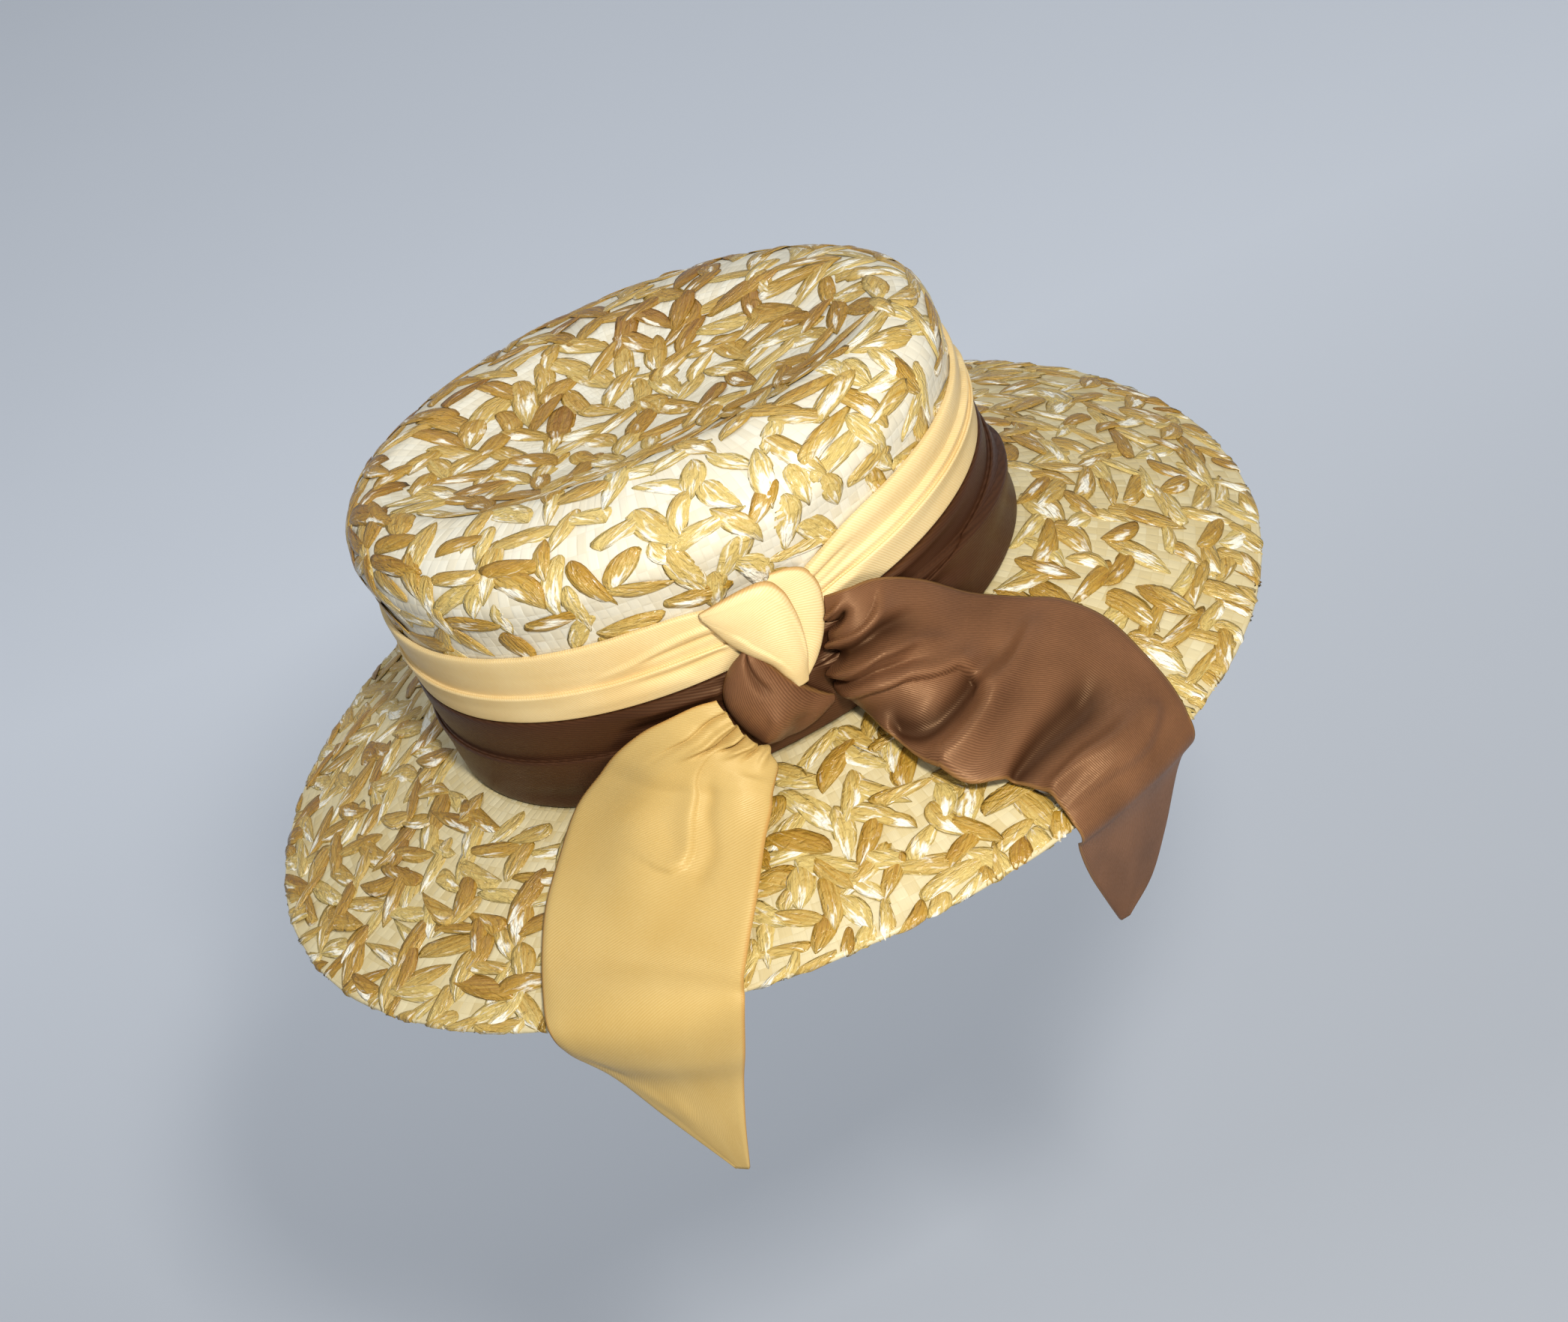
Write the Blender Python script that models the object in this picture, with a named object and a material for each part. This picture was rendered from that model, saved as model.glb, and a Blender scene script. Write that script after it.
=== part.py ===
"""Leaf-straw hat with a two-ribbon band, knotted on the wearer's right side.

The frame: the origin is the centre of the head opening, +Z runs up the crown, +X points to the
wearer's front and -Y to the wearer's right. Sizes are metres. An angle runs round the crown from
the front, 0, to the left side, 90 degrees. The ribbon ends hang as they do on a hat that is worn
tipped back, so they trail towards the back as they fall.
"""
import math
from collections import namedtuple

import bpy
import numpy as np

MM = 0.001

# Walls and gaps
STRAW = 2.0 * MM
RIBBON = 1.3 * MM
GAP = 0.3 * MM
ANGLES = np.linspace(0.0, 2.0 * math.pi, 64, endpoint=False)
OVAL_POWER = 2.05

# Crown: half sizes of its ovals, and heights above the head opening
HEAD_HALF_LENGTH = 101.0 * MM
HEAD_HALF_WIDTH = 85.0 * MM
WAIST_HEIGHT = 50.0 * MM
SHOULDER_HEIGHT = 79.0 * MM
SHOULDER_HALF_LENGTH = 103.0 * MM
SHOULDER_HALF_WIDTH = 89.5 * MM
RIDGE_HEIGHT = 94.0 * MM
RIDGE_HALF_LENGTH = 87.5 * MM
RIDGE_HALF_WIDTH = 54.0 * MM
RIDGE_LEAN = 5.0 * MM
DISH_HEIGHT = 80.0 * MM
DISH_POWER = 2.2
SHOULDER_POWER = 1.95

# Brim: half sizes of its edge, the drop of the edge, and the rise of its foot to the front
BRIM_HALF_LENGTH = 178.0 * MM
BRIM_HALF_WIDTH = 161.0 * MM
BRIM_TWIST = 4.5 * MM
BRIM_WAVE = 1.7 * MM
BRIM_SHIFT = 1.0 * MM
BRIM_DROP = 27.0 * MM
BRIM_FRONT_DROP = 2.0 * MM
BRIM_SADDLE = 5.0 * MM
BRIM_SIDE_LIFT = 2.0 * MM
BRIM_BEND = 0.2
FOOT_RISE = 6.0 * MM

# Hatband: heights of the ribbon edges and of the lengthwise folds
BAND_TOP = 63.0 * MM
BAND_SEAM = 36.0 * MM
BAND_RISE = 4.0 * MM
BAND_DIP = 9.0 * MM
KNOT_ANGLE = math.radians(287.0)
DIP_SPREAD = math.radians(14.0)
BAND_MAX = 2.9 * MM
BROWN_FLARE = 2.5 * MM

# One place on a ribbon's outline: how far up its height, and how far off the straw
Pleat = namedtuple("Pleat", "height lift")
YELLOW_PLEATS = (
    Pleat(0.00, 1.9 * MM), Pleat(0.22, 2.8 * MM), Pleat(0.46, 2.3 * MM), Pleat(0.52, 2.9 * MM),
    Pleat(0.78, 2.5 * MM), Pleat(1.00, 1.7 * MM),
)
BROWN_PLEATS = (
    Pleat(0.00, 2.1 * MM), Pleat(0.25, 2.9 * MM), Pleat(0.58, 2.3 * MM), Pleat(0.65, 2.9 * MM),
    Pleat(0.84, 2.4 * MM), Pleat(1.00, 1.5 * MM),
)

# Knot: outlines on the crown's wall, along it from the side's middle and up it, in millimetres
Spot = namedtuple("Spot", "along height")
BROWN_KNOT = (
    Spot(9.0, 43.5), Spot(1.0, 40.0), Spot(-2.0, 33.0), Spot(-3.0, 24.0), Spot(-1.0, 14.0),
    Spot(4.0, 8.0), Spot(11.0, 6.5), Spot(19.0, 8.5), Spot(29.0, 12.5), Spot(22.0, 24.0), Spot(15.5, 35.0),
)
YELLOW_KNOT = (
    Spot(3.0, 62.5), Spot(5.0, 53.0), Spot(10.5, 46.0), Spot(17.5, 37.0), Spot(24.8, 26.5),
    Spot(32.0, 33.0), Spot(37.0, 41.0), Spot(39.5, 49.0), Spot(39.0, 57.0), Spot(35.0, 62.5),
    Spot(25.0, 64.8), Spot(13.0, 65.0),
)
KNOT_WALL = 96.0 * MM
BROWN_KNOT_DEPTH = 12.0 * MM
YELLOW_KNOT_DEPTH = 7.0 * MM
KNOT_BASE = BAND_MAX + 0.4 * MM

# Tails: crosswise sections from the knot to the tip, one row for each, in millimetres.
# The two edges are points (x, y, z), and fold is how far the middle stands proud of them.
Section = namedtuple("Section", "first second fold")
YELLOW_TAIL = (
    Section((-5.0, -92.5, 31.0), (2.0, -96.0, 5.5), 2.0),
    Section((-12.0, -92.0, 31.5), (4.0, -97.0, 4.5), 3.5),
    Section((-21.0, -90.5, 30.0), (4.5, -99.0, 4.0), 4.0),
    Section((-31.0, -87.5, 27.0), (2.5, -103.0, 3.0), 4.5),
    Section((-42.0, -84.0, 21.0), (0.0, -108.0, 1.5), 4.5),
    Section((-51.0, -81.0, 13.5), (-2.0, -113.0, -0.5), 4.0),
    Section((-63.0, -80.0, 4.5), (-7.0, -122.0, -4.0), 4.0),
    Section((-73.0, -92.0, -2.5), (-14.0, -137.0, -10.0), 3.5),
    Section((-81.0, -104.0, -8.5), (-20.5, -149.0, -15.5), 2.5),
    Section((-86.0, -118.0, -14.0), (-25.5, -159.0, -20.0), 2.0),
    Section((-89.0, -134.0, -18.5), (-27.0, -166.5, -21.5), 4.2),
    Section((-90.0, -146.5, -23.0), (-30.0, -169.0, -28.5), 4.5),
    Section((-87.5, -149.0, -33.0), (-35.0, -168.5, -42.0), 3.5),
    Section((-79.0, -149.0, -47.0), (-40.0, -165.0, -55.0), 2.0),
    Section((-68.0, -155.0, -68.0), (-46.0, -164.5, -72.0), 1.0),
    Section((-55.5, -162.0, -89.0), (-51.5, -163.5, -90.0), 0.0),
)
BROWN_TAIL = (
    Section((38.1, -83.0, 46.0), (29.4, -85.4, 11.5), 0.5),
    Section((46.0, -84.5, 46.5), (33.5, -94.5, 9.5), 4.0),
    Section((56.0, -79.5, 42.5), (37.5, -101.0, 7.5), 5.5),
    Section((68.0, -72.0, 31.0), (41.5, -107.0, 4.5), 5.0),
    Section((80.0, -66.0, 16.0), (49.0, -119.0, -1.0), 5.0),
    Section((94.0, -66.0, 7.5), (58.0, -128.0, -6.5), 4.5),
    Section((106.0, -68.0, 2.0), (67.0, -128.5, -9.5), 3.5),
    Section((117.0, -75.5, -6.0), (72.5, -128.0, -11.5), 3.0),
    Section((124.0, -90.0, -14.5), (79.0, -134.0, -17.5), 2.5),
    Section((128.5, -104.0, -22.5), (83.0, -140.5, -21.5), 2.5),
    Section((128.5, -112.0, -31.0), (84.0, -143.5, -28.0), 3.0),
    Section((120.0, -112.5, -45.0), (82.5, -139.0, -41.0), 2.0),
    Section((110.0, -113.5, -63.5), (82.5, -133.0, -56.0), 1.5),
    Section((100.0, -116.0, -78.0), (84.0, -127.5, -72.0), 0.5),
    Section((88.5, -121.5, -85.5), (85.5, -123.5, -84.5), 0.0),
)
TAIL_LIFT = GAP + 0.75 * RIBBON
EDGE_LIFT = 3.2 * MM
EDGE_REACH = 10.0 * MM
TAIL_COLUMNS = 9
ROWS_PER_SECTION = 2

# Finishes: base colour, roughness
Finish = namedtuple("Finish", "colour roughness")
STRAW_FINISH = Finish((0.78, 0.64, 0.38, 1.0), 0.42)
YELLOW_SATIN = Finish((0.86, 0.58, 0.24, 1.0), 0.38)
BROWN_SATIN = Finish((0.11, 0.05, 0.03, 1.0), 0.36)


def oval(angle, half_length, half_width):
    """Radius of a slightly squared oval at an angle."""
    power = OVAL_POWER
    reach = np.abs(np.cos(angle) / half_length) ** power + np.abs(np.sin(angle) / half_width) ** power
    return reach ** (-1.0 / power)


def wall_radius(angle, height):
    """Radius of the crown's straw, which swells a little above its waist."""
    swell = np.clip((height - WAIST_HEIGHT) / (SHOULDER_HEIGHT - WAIST_HEIGHT), 0.0, 1.0) ** 2
    half_length = HEAD_HALF_LENGTH + (SHOULDER_HALF_LENGTH - HEAD_HALF_LENGTH) * swell
    half_width = HEAD_HALF_WIDTH + (SHOULDER_HALF_WIDTH - HEAD_HALF_WIDTH) * swell
    return oval(angle, half_length, half_width)


def foot_height(angle):
    """Height of the line where crown and brim meet, which rises to the front."""
    return FOOT_RISE * np.cos(angle)


def edge_radius(angle):
    """Radius of the brim's edge, an oval with a slight twist and wave."""
    plain = (np.abs(np.cos(angle) / BRIM_HALF_LENGTH) ** 2 + np.abs(np.sin(angle) / BRIM_HALF_WIDTH) ** 2) ** -0.5
    shift = BRIM_SHIFT * np.cos(angle)
    return plain + shift + BRIM_TWIST * np.sin(2 * angle) - BRIM_WAVE * np.cos(3 * angle)


def edge_height(angle):
    """Height of the brim's edge, lower at the front and back than at the sides."""
    front = BRIM_FRONT_DROP * np.cos(angle)
    return -BRIM_DROP - front - BRIM_SADDLE * np.cos(2 * angle) + BRIM_SIDE_LIFT * np.sin(angle)


def brim_height(angle, radius):
    """Height of the brim's upper face, which bends down a little towards its edge."""
    start = wall_radius(angle, 0.0)
    share = np.maximum((radius - start) / (edge_radius(angle) - start), 0.0)
    fall = (1.0 - BRIM_BEND) * share + BRIM_BEND * share ** 2
    return foot_height(angle) + (edge_height(angle) - foot_height(angle)) * fall


def ring(radius, height, angle=ANGLES):
    """Points of a ring from its radius and height at each angle."""
    radius = np.broadcast_to(radius, angle.shape)
    height = np.broadcast_to(height, angle.shape)
    return np.column_stack((radius * np.cos(angle), radius * np.sin(angle), height))


def signed_volume(points, faces):
    """Volume of a closed mesh, negative when its faces point inwards."""
    total = 0.0
    for face in faces:
        first = points[face[0]]
        for left, right in zip(face[1:-1], face[2:]):
            total += float(np.dot(first, np.cross(points[left], points[right])))
    return total / 6.0


def make_object(name, points, faces, finish):
    """A mesh object of its own material, with its faces pointing out."""
    points = np.asarray(points, dtype=float)
    if signed_volume(points, faces) < 0.0:
        faces = [tuple(reversed(face)) for face in faces]
    mesh = bpy.data.meshes.new(name)
    mesh.from_pydata(points.tolist(), [], faces)
    mesh.update()
    material = bpy.data.materials.new(name + "_finish")
    material.use_nodes = True
    shader = material.node_tree.nodes["Principled BSDF"]
    shader.inputs["Base Color"].default_value = finish.colour
    shader.inputs["Roughness"].default_value = finish.roughness
    mesh.materials.append(material)
    mesh.shade_smooth()
    mesh.set_sharp_from_angle(angle=math.radians(50.0))
    made = bpy.data.objects.new(name, mesh)
    bpy.context.scene.collection.objects.link(made)
    return made


def band_faces(first, second, count):
    """Faces between two rings that start at these vertex numbers."""
    return [
        (first + i, first + (i + 1) % count, second + (i + 1) % count, second + i)
        for i in range(count)
    ]


def fan_faces(start, centre, count):
    """Faces that close a ring with one point at its middle."""
    return [(start + i, start + (i + 1) % count, centre) for i in range(count)]


def looped_wall(name, rings, finish):
    """A closed ring-shaped wall whose outline runs through these rings and back to the first."""
    count = len(rings[0])
    points = np.vstack(rings)
    faces = []
    for i in range(len(rings)):
        faces += band_faces(i * count, ((i + 1) % len(rings)) * count, count)
    return make_object(name, points, faces, finish)


def capped_wall(name, rings, first_centre, last_centre, finish):
    """A closed body through these rings, with a point closing each end."""
    count = len(rings[0])
    points = np.vstack(rings + [first_centre, last_centre])
    faces = []
    for i in range(len(rings) - 1):
        faces += band_faces(i * count, (i + 1) * count, count)
    first = len(rings) * count
    faces += [tuple(reversed(face)) for face in fan_faces(0, first, count)]
    faces += fan_faces((len(rings) - 1) * count, first + 1, count)
    return make_object(name, points, faces, finish)


def sheet_normals(grid, closed):
    """Unit normals of a grid of points, whose columns may close on themselves."""
    along = np.gradient(grid, axis=0)
    if closed:
        across = np.roll(grid, -1, axis=1) - np.roll(grid, 1, axis=1)
    else:
        across = np.gradient(grid, axis=1)
    normal = np.cross(across, along)
    return normal / np.linalg.norm(normal, axis=2, keepdims=True)


def crown_rings():
    """Outer rings of the crown from its foot, over the shoulder and ridge, into the dish."""
    rings = []
    foot = foot_height(ANGLES) - STRAW
    for share in (0.0, 0.4, 0.8):
        height = foot + (WAIST_HEIGHT - foot) * share
        rings.append(ring(wall_radius(ANGLES, height), height))
    for share in (0.0, 0.3, 0.6, 0.82):
        height = WAIST_HEIGHT + (SHOULDER_HEIGHT - WAIST_HEIGHT) * share
        rings.append(ring(wall_radius(ANGLES, height), height))
    ridge = RIDGE_HEIGHT - RIDGE_LEAN * np.sin(ANGLES)
    for turn in np.radians((0.0, 22.0, 42.0, 60.0, 76.0, 90.0)):
        inward = math.cos(turn) ** (2.0 / SHOULDER_POWER)
        upward = math.sin(turn) ** (2.0 / SHOULDER_POWER)
        half_length = RIDGE_HALF_LENGTH + (SHOULDER_HALF_LENGTH - RIDGE_HALF_LENGTH) * inward
        half_width = RIDGE_HALF_WIDTH + (SHOULDER_HALF_WIDTH - RIDGE_HALF_WIDTH) * inward
        height = SHOULDER_HEIGHT + (ridge - SHOULDER_HEIGHT) * upward
        rings.append(ring(oval(ANGLES, half_length, half_width), height))
    for share in (0.92, 0.8, 0.62, 0.42, 0.2):
        height = DISH_HEIGHT + (ridge - DISH_HEIGHT) * share ** DISH_POWER
        rings.append(ring(share * oval(ANGLES, RIDGE_HALF_LENGTH, RIDGE_HALF_WIDTH), height))
    return rings


def make_crown():
    """The straw crown: one hollow wall, open at the head, dished along its top."""
    outer = crown_rings()
    grid = np.stack(outer)
    inner = grid - STRAW * sheet_normals(grid, closed=True)
    inner[0, :, 2] = grid[0, :, 2]
    rings = [inner[i] for i in range(len(outer) - 1, -1, -1)] + outer
    top = np.array([[0.0, 0.0, DISH_HEIGHT]])
    under = top - np.array([[0.0, 0.0, STRAW]])
    return capped_wall("crown", rings, under, top, STRAW_FINISH)


def make_brim():
    """The straw brim: a sloping sheet from just outside the crown's foot to its edge."""
    shares = (0.0, 0.12, 0.3, 0.5, 0.7, 0.88, 1.0)
    start = wall_radius(ANGLES, 0.0) + GAP
    upper = []
    for share in shares:
        radius = start + (edge_radius(ANGLES) - start) * share
        upper.append(ring(radius, brim_height(ANGLES, radius)))
    lower = [points - np.array([0.0, 0.0, STRAW]) for points in reversed(upper)]
    return looped_wall("brim", upper + lower, STRAW_FINISH)


def seam_height(angle):
    """Height of the line where the yellow ribbon lies on the brown one."""
    return BAND_SEAM + BAND_RISE * np.cos(angle)


def top_height(angle):
    """Height of the yellow ribbon's upper edge, which the knot pulls down."""
    dip = BAND_DIP * np.exp(-((angle - KNOT_ANGLE) / DIP_SPREAD) ** 2)
    return BAND_TOP + BAND_RISE * np.cos(angle) - dip


def make_band(name, low, high, pleats, flare, finish):
    """One ribbon round the crown, with its lengthwise fold standing off the straw."""
    outer = []
    inner = []
    for pleat in pleats:
        height = low + (high - low) * pleat.height
        wall = wall_radius(ANGLES, height)
        spread = flare * (1.0 - pleat.height) ** 2 * np.maximum(np.cos(ANGLES), 0.0) ** 2
        outer.append(ring(wall + pleat.lift + spread, height))
        inner.append(ring(wall + GAP + spread, height))
    return looped_wall(name, outer + inner[::-1], finish)


def make_bands():
    """The brown ribbon on the brim, and the yellow one above it."""
    foot = foot_height(ANGLES) + GAP
    seam = seam_height(ANGLES)
    make_band("band_brown", foot, seam - GAP / 2, BROWN_PLEATS, BROWN_FLARE, BROWN_SATIN)
    make_band("band_yellow", seam + GAP / 2, top_height(ANGLES), YELLOW_PLEATS, 0.0, YELLOW_SATIN)


def on_wall(along, height, lift):
    """A point off the crown's side, from its place along the wall, height and lift."""
    angle = 1.5 * math.pi + along / KNOT_WALL
    radius = wall_radius(angle, height) + lift
    return np.column_stack((radius * np.cos(angle), radius * np.sin(angle), height))


def make_knot(name, outline, depth, finish):
    """A wound loop of ribbon: a pillow over its outline on the crown's side."""
    edge = np.array(outline) * MM
    middle = edge.mean(axis=0)
    along, height = edge.T
    rings = [on_wall(along, height, KNOT_BASE)]
    for turn in np.radians((12.0, 35.0, 58.0, 76.0)):
        spot = middle + (edge - middle) * math.cos(turn) ** 0.7
        lift = KNOT_BASE + depth * math.sin(turn)
        rings.append(on_wall(spot[:, 0], spot[:, 1], lift))
    first = on_wall(middle[:1], middle[1:], KNOT_BASE)
    last = on_wall(middle[:1], middle[1:], KNOT_BASE + depth)
    return capped_wall(name, rings, first, last, finish)


def curve_through(values, steps):
    """A smooth curve through rows of values, with this many steps between two rows."""
    padded = np.vstack((2 * values[0] - values[1], values, 2 * values[-1] - values[-2]))
    out = []
    for i in range(len(values) - 1):
        before, start, end, after = padded[i:i + 4]
        for share in np.arange(steps) / steps:
            bend = 2 * start + (end - before) * share
            bend += (2 * before - 5 * start + 4 * end - after) * share ** 2
            bend += (3 * start - before - 3 * end + after) * share ** 3
            out.append(bend / 2)
    out.append(values[-1])
    return np.array(out)


def clear_of_brim(points):
    """The points, raised off the brim's upper face, or moved out past its edge where they hang."""
    angle = np.arctan2(points[..., 1], points[..., 0])
    radius = np.hypot(points[..., 0], points[..., 1])
    edge = edge_radius(angle)
    near_edge = np.clip((radius - edge + EDGE_REACH) / EDGE_REACH, 0.0, 1.0)
    floor = brim_height(angle, radius) + TAIL_LIFT + (EDGE_LIFT - TAIL_LIFT) * near_edge
    height = points[..., 2]
    over = (radius < edge + EDGE_LIFT) & (height > floor - 2.0 * EDGE_LIFT)
    below = edge_height(angle) - STRAW - 2.0 * EDGE_LIFT
    beside = ~over & (np.abs(radius - edge) < EDGE_REACH) & (height > below)
    out = points.copy()
    out[..., 2] = np.where(over, np.maximum(height, floor), height)
    push = np.where(beside, np.maximum(radius, edge + EDGE_LIFT), radius) / radius
    out[..., 0] *= push
    out[..., 1] *= push
    return out


def make_tail(name, sections, finish):
    """A ribbon end: a thin sheet through its sections, lying on the brim and hanging past it."""
    rows = np.array([(*row.first, *row.second, row.fold) for row in sections]) * MM
    rows = curve_through(rows, ROWS_PER_SECTION)
    first, second, fold = rows[:, 0:3], rows[:, 3:6], rows[:, 6]
    share = np.linspace(0.0, 1.0, TAIL_COLUMNS)[None, :, None]
    flat = first[:, None] * (1.0 - share) + second[:, None] * share
    proud = np.sin(math.pi * share[..., 0]) * fold[:, None]
    upward = sheet_normals(flat, closed=False)
    upward *= np.sign(upward[..., 2].mean())
    middle = flat + upward * proud[..., None]
    middle = clear_of_brim(middle)
    normal = sheet_normals(middle, closed=False)
    front = middle + normal * RIBBON / 2
    back = middle - normal * RIBBON / 2
    row_count, column_count = middle.shape[:2]
    rings = [np.vstack((front[i], back[i][::-1])) for i in range(row_count)]
    count = 2 * column_count
    points = np.vstack(rings)
    faces = []
    for i in range(row_count - 1):
        faces += band_faces(i * count, (i + 1) * count, count)
    for start, turned in ((0, True), ((row_count - 1) * count, False)):
        for i in range(column_count - 1):
            face = (start + i, start + i + 1, start + count - 2 - i, start + count - 1 - i)
            faces.append(tuple(reversed(face)) if turned else face)
    return make_object(name, points, faces, finish)


def clear_scene():
    """Removes every object of the open scene."""
    for old in list(bpy.data.objects):
        bpy.data.objects.remove(old, do_unlink=True)


clear_scene()
make_crown()
make_brim()
make_bands()
make_knot("knot_brown", BROWN_KNOT, BROWN_KNOT_DEPTH, BROWN_SATIN)
make_knot("knot_yellow", YELLOW_KNOT, YELLOW_KNOT_DEPTH, YELLOW_SATIN)
make_tail("tail_yellow", YELLOW_TAIL, YELLOW_SATIN)
make_tail("tail_brown", BROWN_TAIL, BROWN_SATIN)
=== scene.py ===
"""Looks of a leaf-straw hat with a dished crown, a wide brim and a two-ribbon band knotted at the side.

The frame is the hat's own: the origin is the centre of the head opening, +Z runs up the crown, +X
points to the wearer's front and -Y to the wearer's right. An angle runs round the crown from the
front towards the left side. Sizes are metres unless a name says millimetres.
"""
import logging
import math
from dataclasses import dataclass, replace
from enum import Enum
from typing import Callable, NamedTuple, Sequence

import bmesh
import bpy
import numpy as np
from mathutils import Matrix, Vector


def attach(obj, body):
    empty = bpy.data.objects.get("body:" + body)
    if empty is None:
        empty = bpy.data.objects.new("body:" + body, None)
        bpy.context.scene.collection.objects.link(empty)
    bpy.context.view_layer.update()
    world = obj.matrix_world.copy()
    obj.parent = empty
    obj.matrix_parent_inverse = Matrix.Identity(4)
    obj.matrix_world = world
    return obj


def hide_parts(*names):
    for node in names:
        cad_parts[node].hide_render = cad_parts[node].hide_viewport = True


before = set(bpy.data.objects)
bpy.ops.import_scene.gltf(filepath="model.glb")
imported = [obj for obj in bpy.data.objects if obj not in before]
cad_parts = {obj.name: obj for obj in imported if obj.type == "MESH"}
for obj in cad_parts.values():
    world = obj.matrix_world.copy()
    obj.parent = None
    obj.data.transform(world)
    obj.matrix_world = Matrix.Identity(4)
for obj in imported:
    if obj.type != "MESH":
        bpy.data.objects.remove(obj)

LOG = logging.getLogger("straw_hat")
MM = 0.001
FULL_TURN = 2.0 * math.pi
TINY_STEP = 1e-4
LEAST_LENGTH = 1e-15
SAME_SPOT = 1e-6
BODY = "root"

Array = np.ndarray
Generator = np.random.Generator
Object = bpy.types.Object
Material = bpy.types.Material
Tree = bpy.types.NodeTree
Node = bpy.types.Node
Socket = bpy.types.NodeSocket
Surface = Callable[[Array, Array], Array]
Colour = tuple[float, float, float]
Pair = tuple[float, float]
Value = Socket | float | Colour


class Slot(Enum):
    """The record's material slots."""

    STRAW = "straw"
    YELLOW = "yellow_ribbon"
    BROWN = "brown_ribbon"


class Side(Enum):
    """Which way a field of leaves leans: over the crown, which counts upwards, or the brim."""

    CROWN = 1.0
    BRIM = -1.0


# Numbers and curves


def smooth_step(value: Array) -> Array:
    """Smooth rise from 0 to 1 while value goes from 0 to 1: 3 v^2 - 2 v^3."""
    share = np.clip(value, 0.0, 1.0)
    return share * share * (3.0 - 2.0 * share)


def curve_at(rows: Array, place: Array) -> Array:
    """Reads a smooth curve through rows of values at places counted in rows.

    The curve between two rows is the Catmull-Rom cubic of the four rows round them.

    Args:
        rows: values, one row for each point of the curve.
        place: where to read it, from 0 at the first row to the last row's number.

    Returns:
        One row of values for each place.
    """
    padded = np.vstack((2 * rows[0] - rows[1], rows, 2 * rows[-1] - rows[-2]))
    start = np.clip(np.floor(place).astype(int), 0, len(rows) - 2)
    share = (place - start)[:, None]
    before, first, second, after = (padded[start + i] for i in range(4))
    bend = 2 * first + (second - before) * share
    bend = bend + (2 * before - 5 * first + 4 * second - after) * share**2
    bend = bend + (3 * first - before - 3 * second + after) * share**3
    return bend / 2


def grid_normals(grid: Array) -> Array:
    """Unit normals of a grid of points, by the cross product of its two directions."""
    normal = np.cross(np.gradient(grid, axis=1), np.gradient(grid, axis=0))
    return normal / np.maximum(np.linalg.norm(normal, axis=2, keepdims=True), LEAST_LENGTH)


def surface_normals(surface: Surface, angle: Array, along: Array) -> Array:
    """Unit normals of a surface of two parameters, from small steps to both sides of a point.

    Args:
        surface: gives points for two parameters.
        angle: first parameter, one for each point.
        along: second parameter, one for each point.

    Returns:
        One normal for each point.
    """
    round_way = surface(angle + TINY_STEP, along) - surface(angle - TINY_STEP, along)
    cross_way = surface(angle, along + TINY_STEP) - surface(angle, along - TINY_STEP)
    normal = np.cross(round_way, cross_way)
    return normal / np.maximum(np.linalg.norm(normal, axis=-1, keepdims=True), LEAST_LENGTH)


# Meshes


def quad_grid(rows: int, columns: int, close_rows: bool = False, close_columns: bool = False) -> Array:
    """Corner numbers of the quads of a grid, as a row of four for each quad.

    Args:
        rows: rows of points.
        columns: points in a row.
        close_rows: whether the last row joins the first.
        close_columns: whether the last column joins the first.

    Returns:
        Four corner numbers for each quad.
    """
    row = np.arange(rows if close_rows else rows - 1)
    column = np.arange(columns if close_columns else columns - 1)
    row, column = (part.ravel() for part in np.meshgrid(row, column, indexing="ij"))
    next_row = (row + 1) % rows if close_rows else row + 1
    next_column = (column + 1) % columns if close_columns else column + 1
    corners = ((row, column), (row, next_column), (next_row, next_column), (next_row, column))
    return np.stack([r * columns + c for r, c in corners], axis=1)


def mesh_object(
    name: str, points: Array, quads: Array, uv: Array, marks: dict[str, Array] | None = None
) -> Object:
    """Makes a smooth mesh object from arrays.

    Args:
        name: the piece's name.
        points: one row of x, y, z for each vertex.
        quads: four vertex numbers for each face.
        uv: one row of u, v for each corner of each face, in metres along the surface.
        marks: values for each vertex, kept as point attributes under these names, if there are any.

    Returns:
        The linked object, at the origin.
    """
    mesh = bpy.data.meshes.new(name)
    mesh.vertices.add(len(points))
    mesh.vertices.foreach_set("co", np.asarray(points, np.float32).ravel())
    mesh.loops.add(quads.size)
    mesh.loops.foreach_set("vertex_index", quads.astype(np.int32).ravel())
    mesh.polygons.add(len(quads))
    mesh.polygons.foreach_set("loop_start", np.arange(0, quads.size, 4, dtype=np.int32))
    mesh.polygons.foreach_set("loop_total", np.full(len(quads), 4, dtype=np.int32))
    layer = mesh.uv_layers.new(name="Lay")
    layer.data.foreach_set("uv", np.asarray(uv, np.float32).ravel())
    for mark, values in (marks or {}).items():
        attribute = mesh.attributes.new(mark, "FLOAT", "POINT")
        attribute.data.foreach_set("value", np.asarray(values, np.float32).ravel())
    mesh.update(calc_edges=True)
    mesh.validate()
    mesh.shade_smooth()
    made = bpy.data.objects.new(name, mesh)
    bpy.context.scene.collection.objects.link(made)
    return made


def close_poles(piece: Object) -> None:
    """Merges the points that lie on one spot, and turns all faces outwards.

    Args:
        piece: the mesh object, which is changed.
    """
    work = bmesh.new()
    work.from_mesh(piece.data)
    bmesh.ops.remove_doubles(work, verts=work.verts[:], dist=SAME_SPOT)
    bmesh.ops.recalc_face_normals(work, faces=work.faces[:])
    work.to_mesh(piece.data)
    work.free()
    piece.data.shade_smooth()


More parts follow.
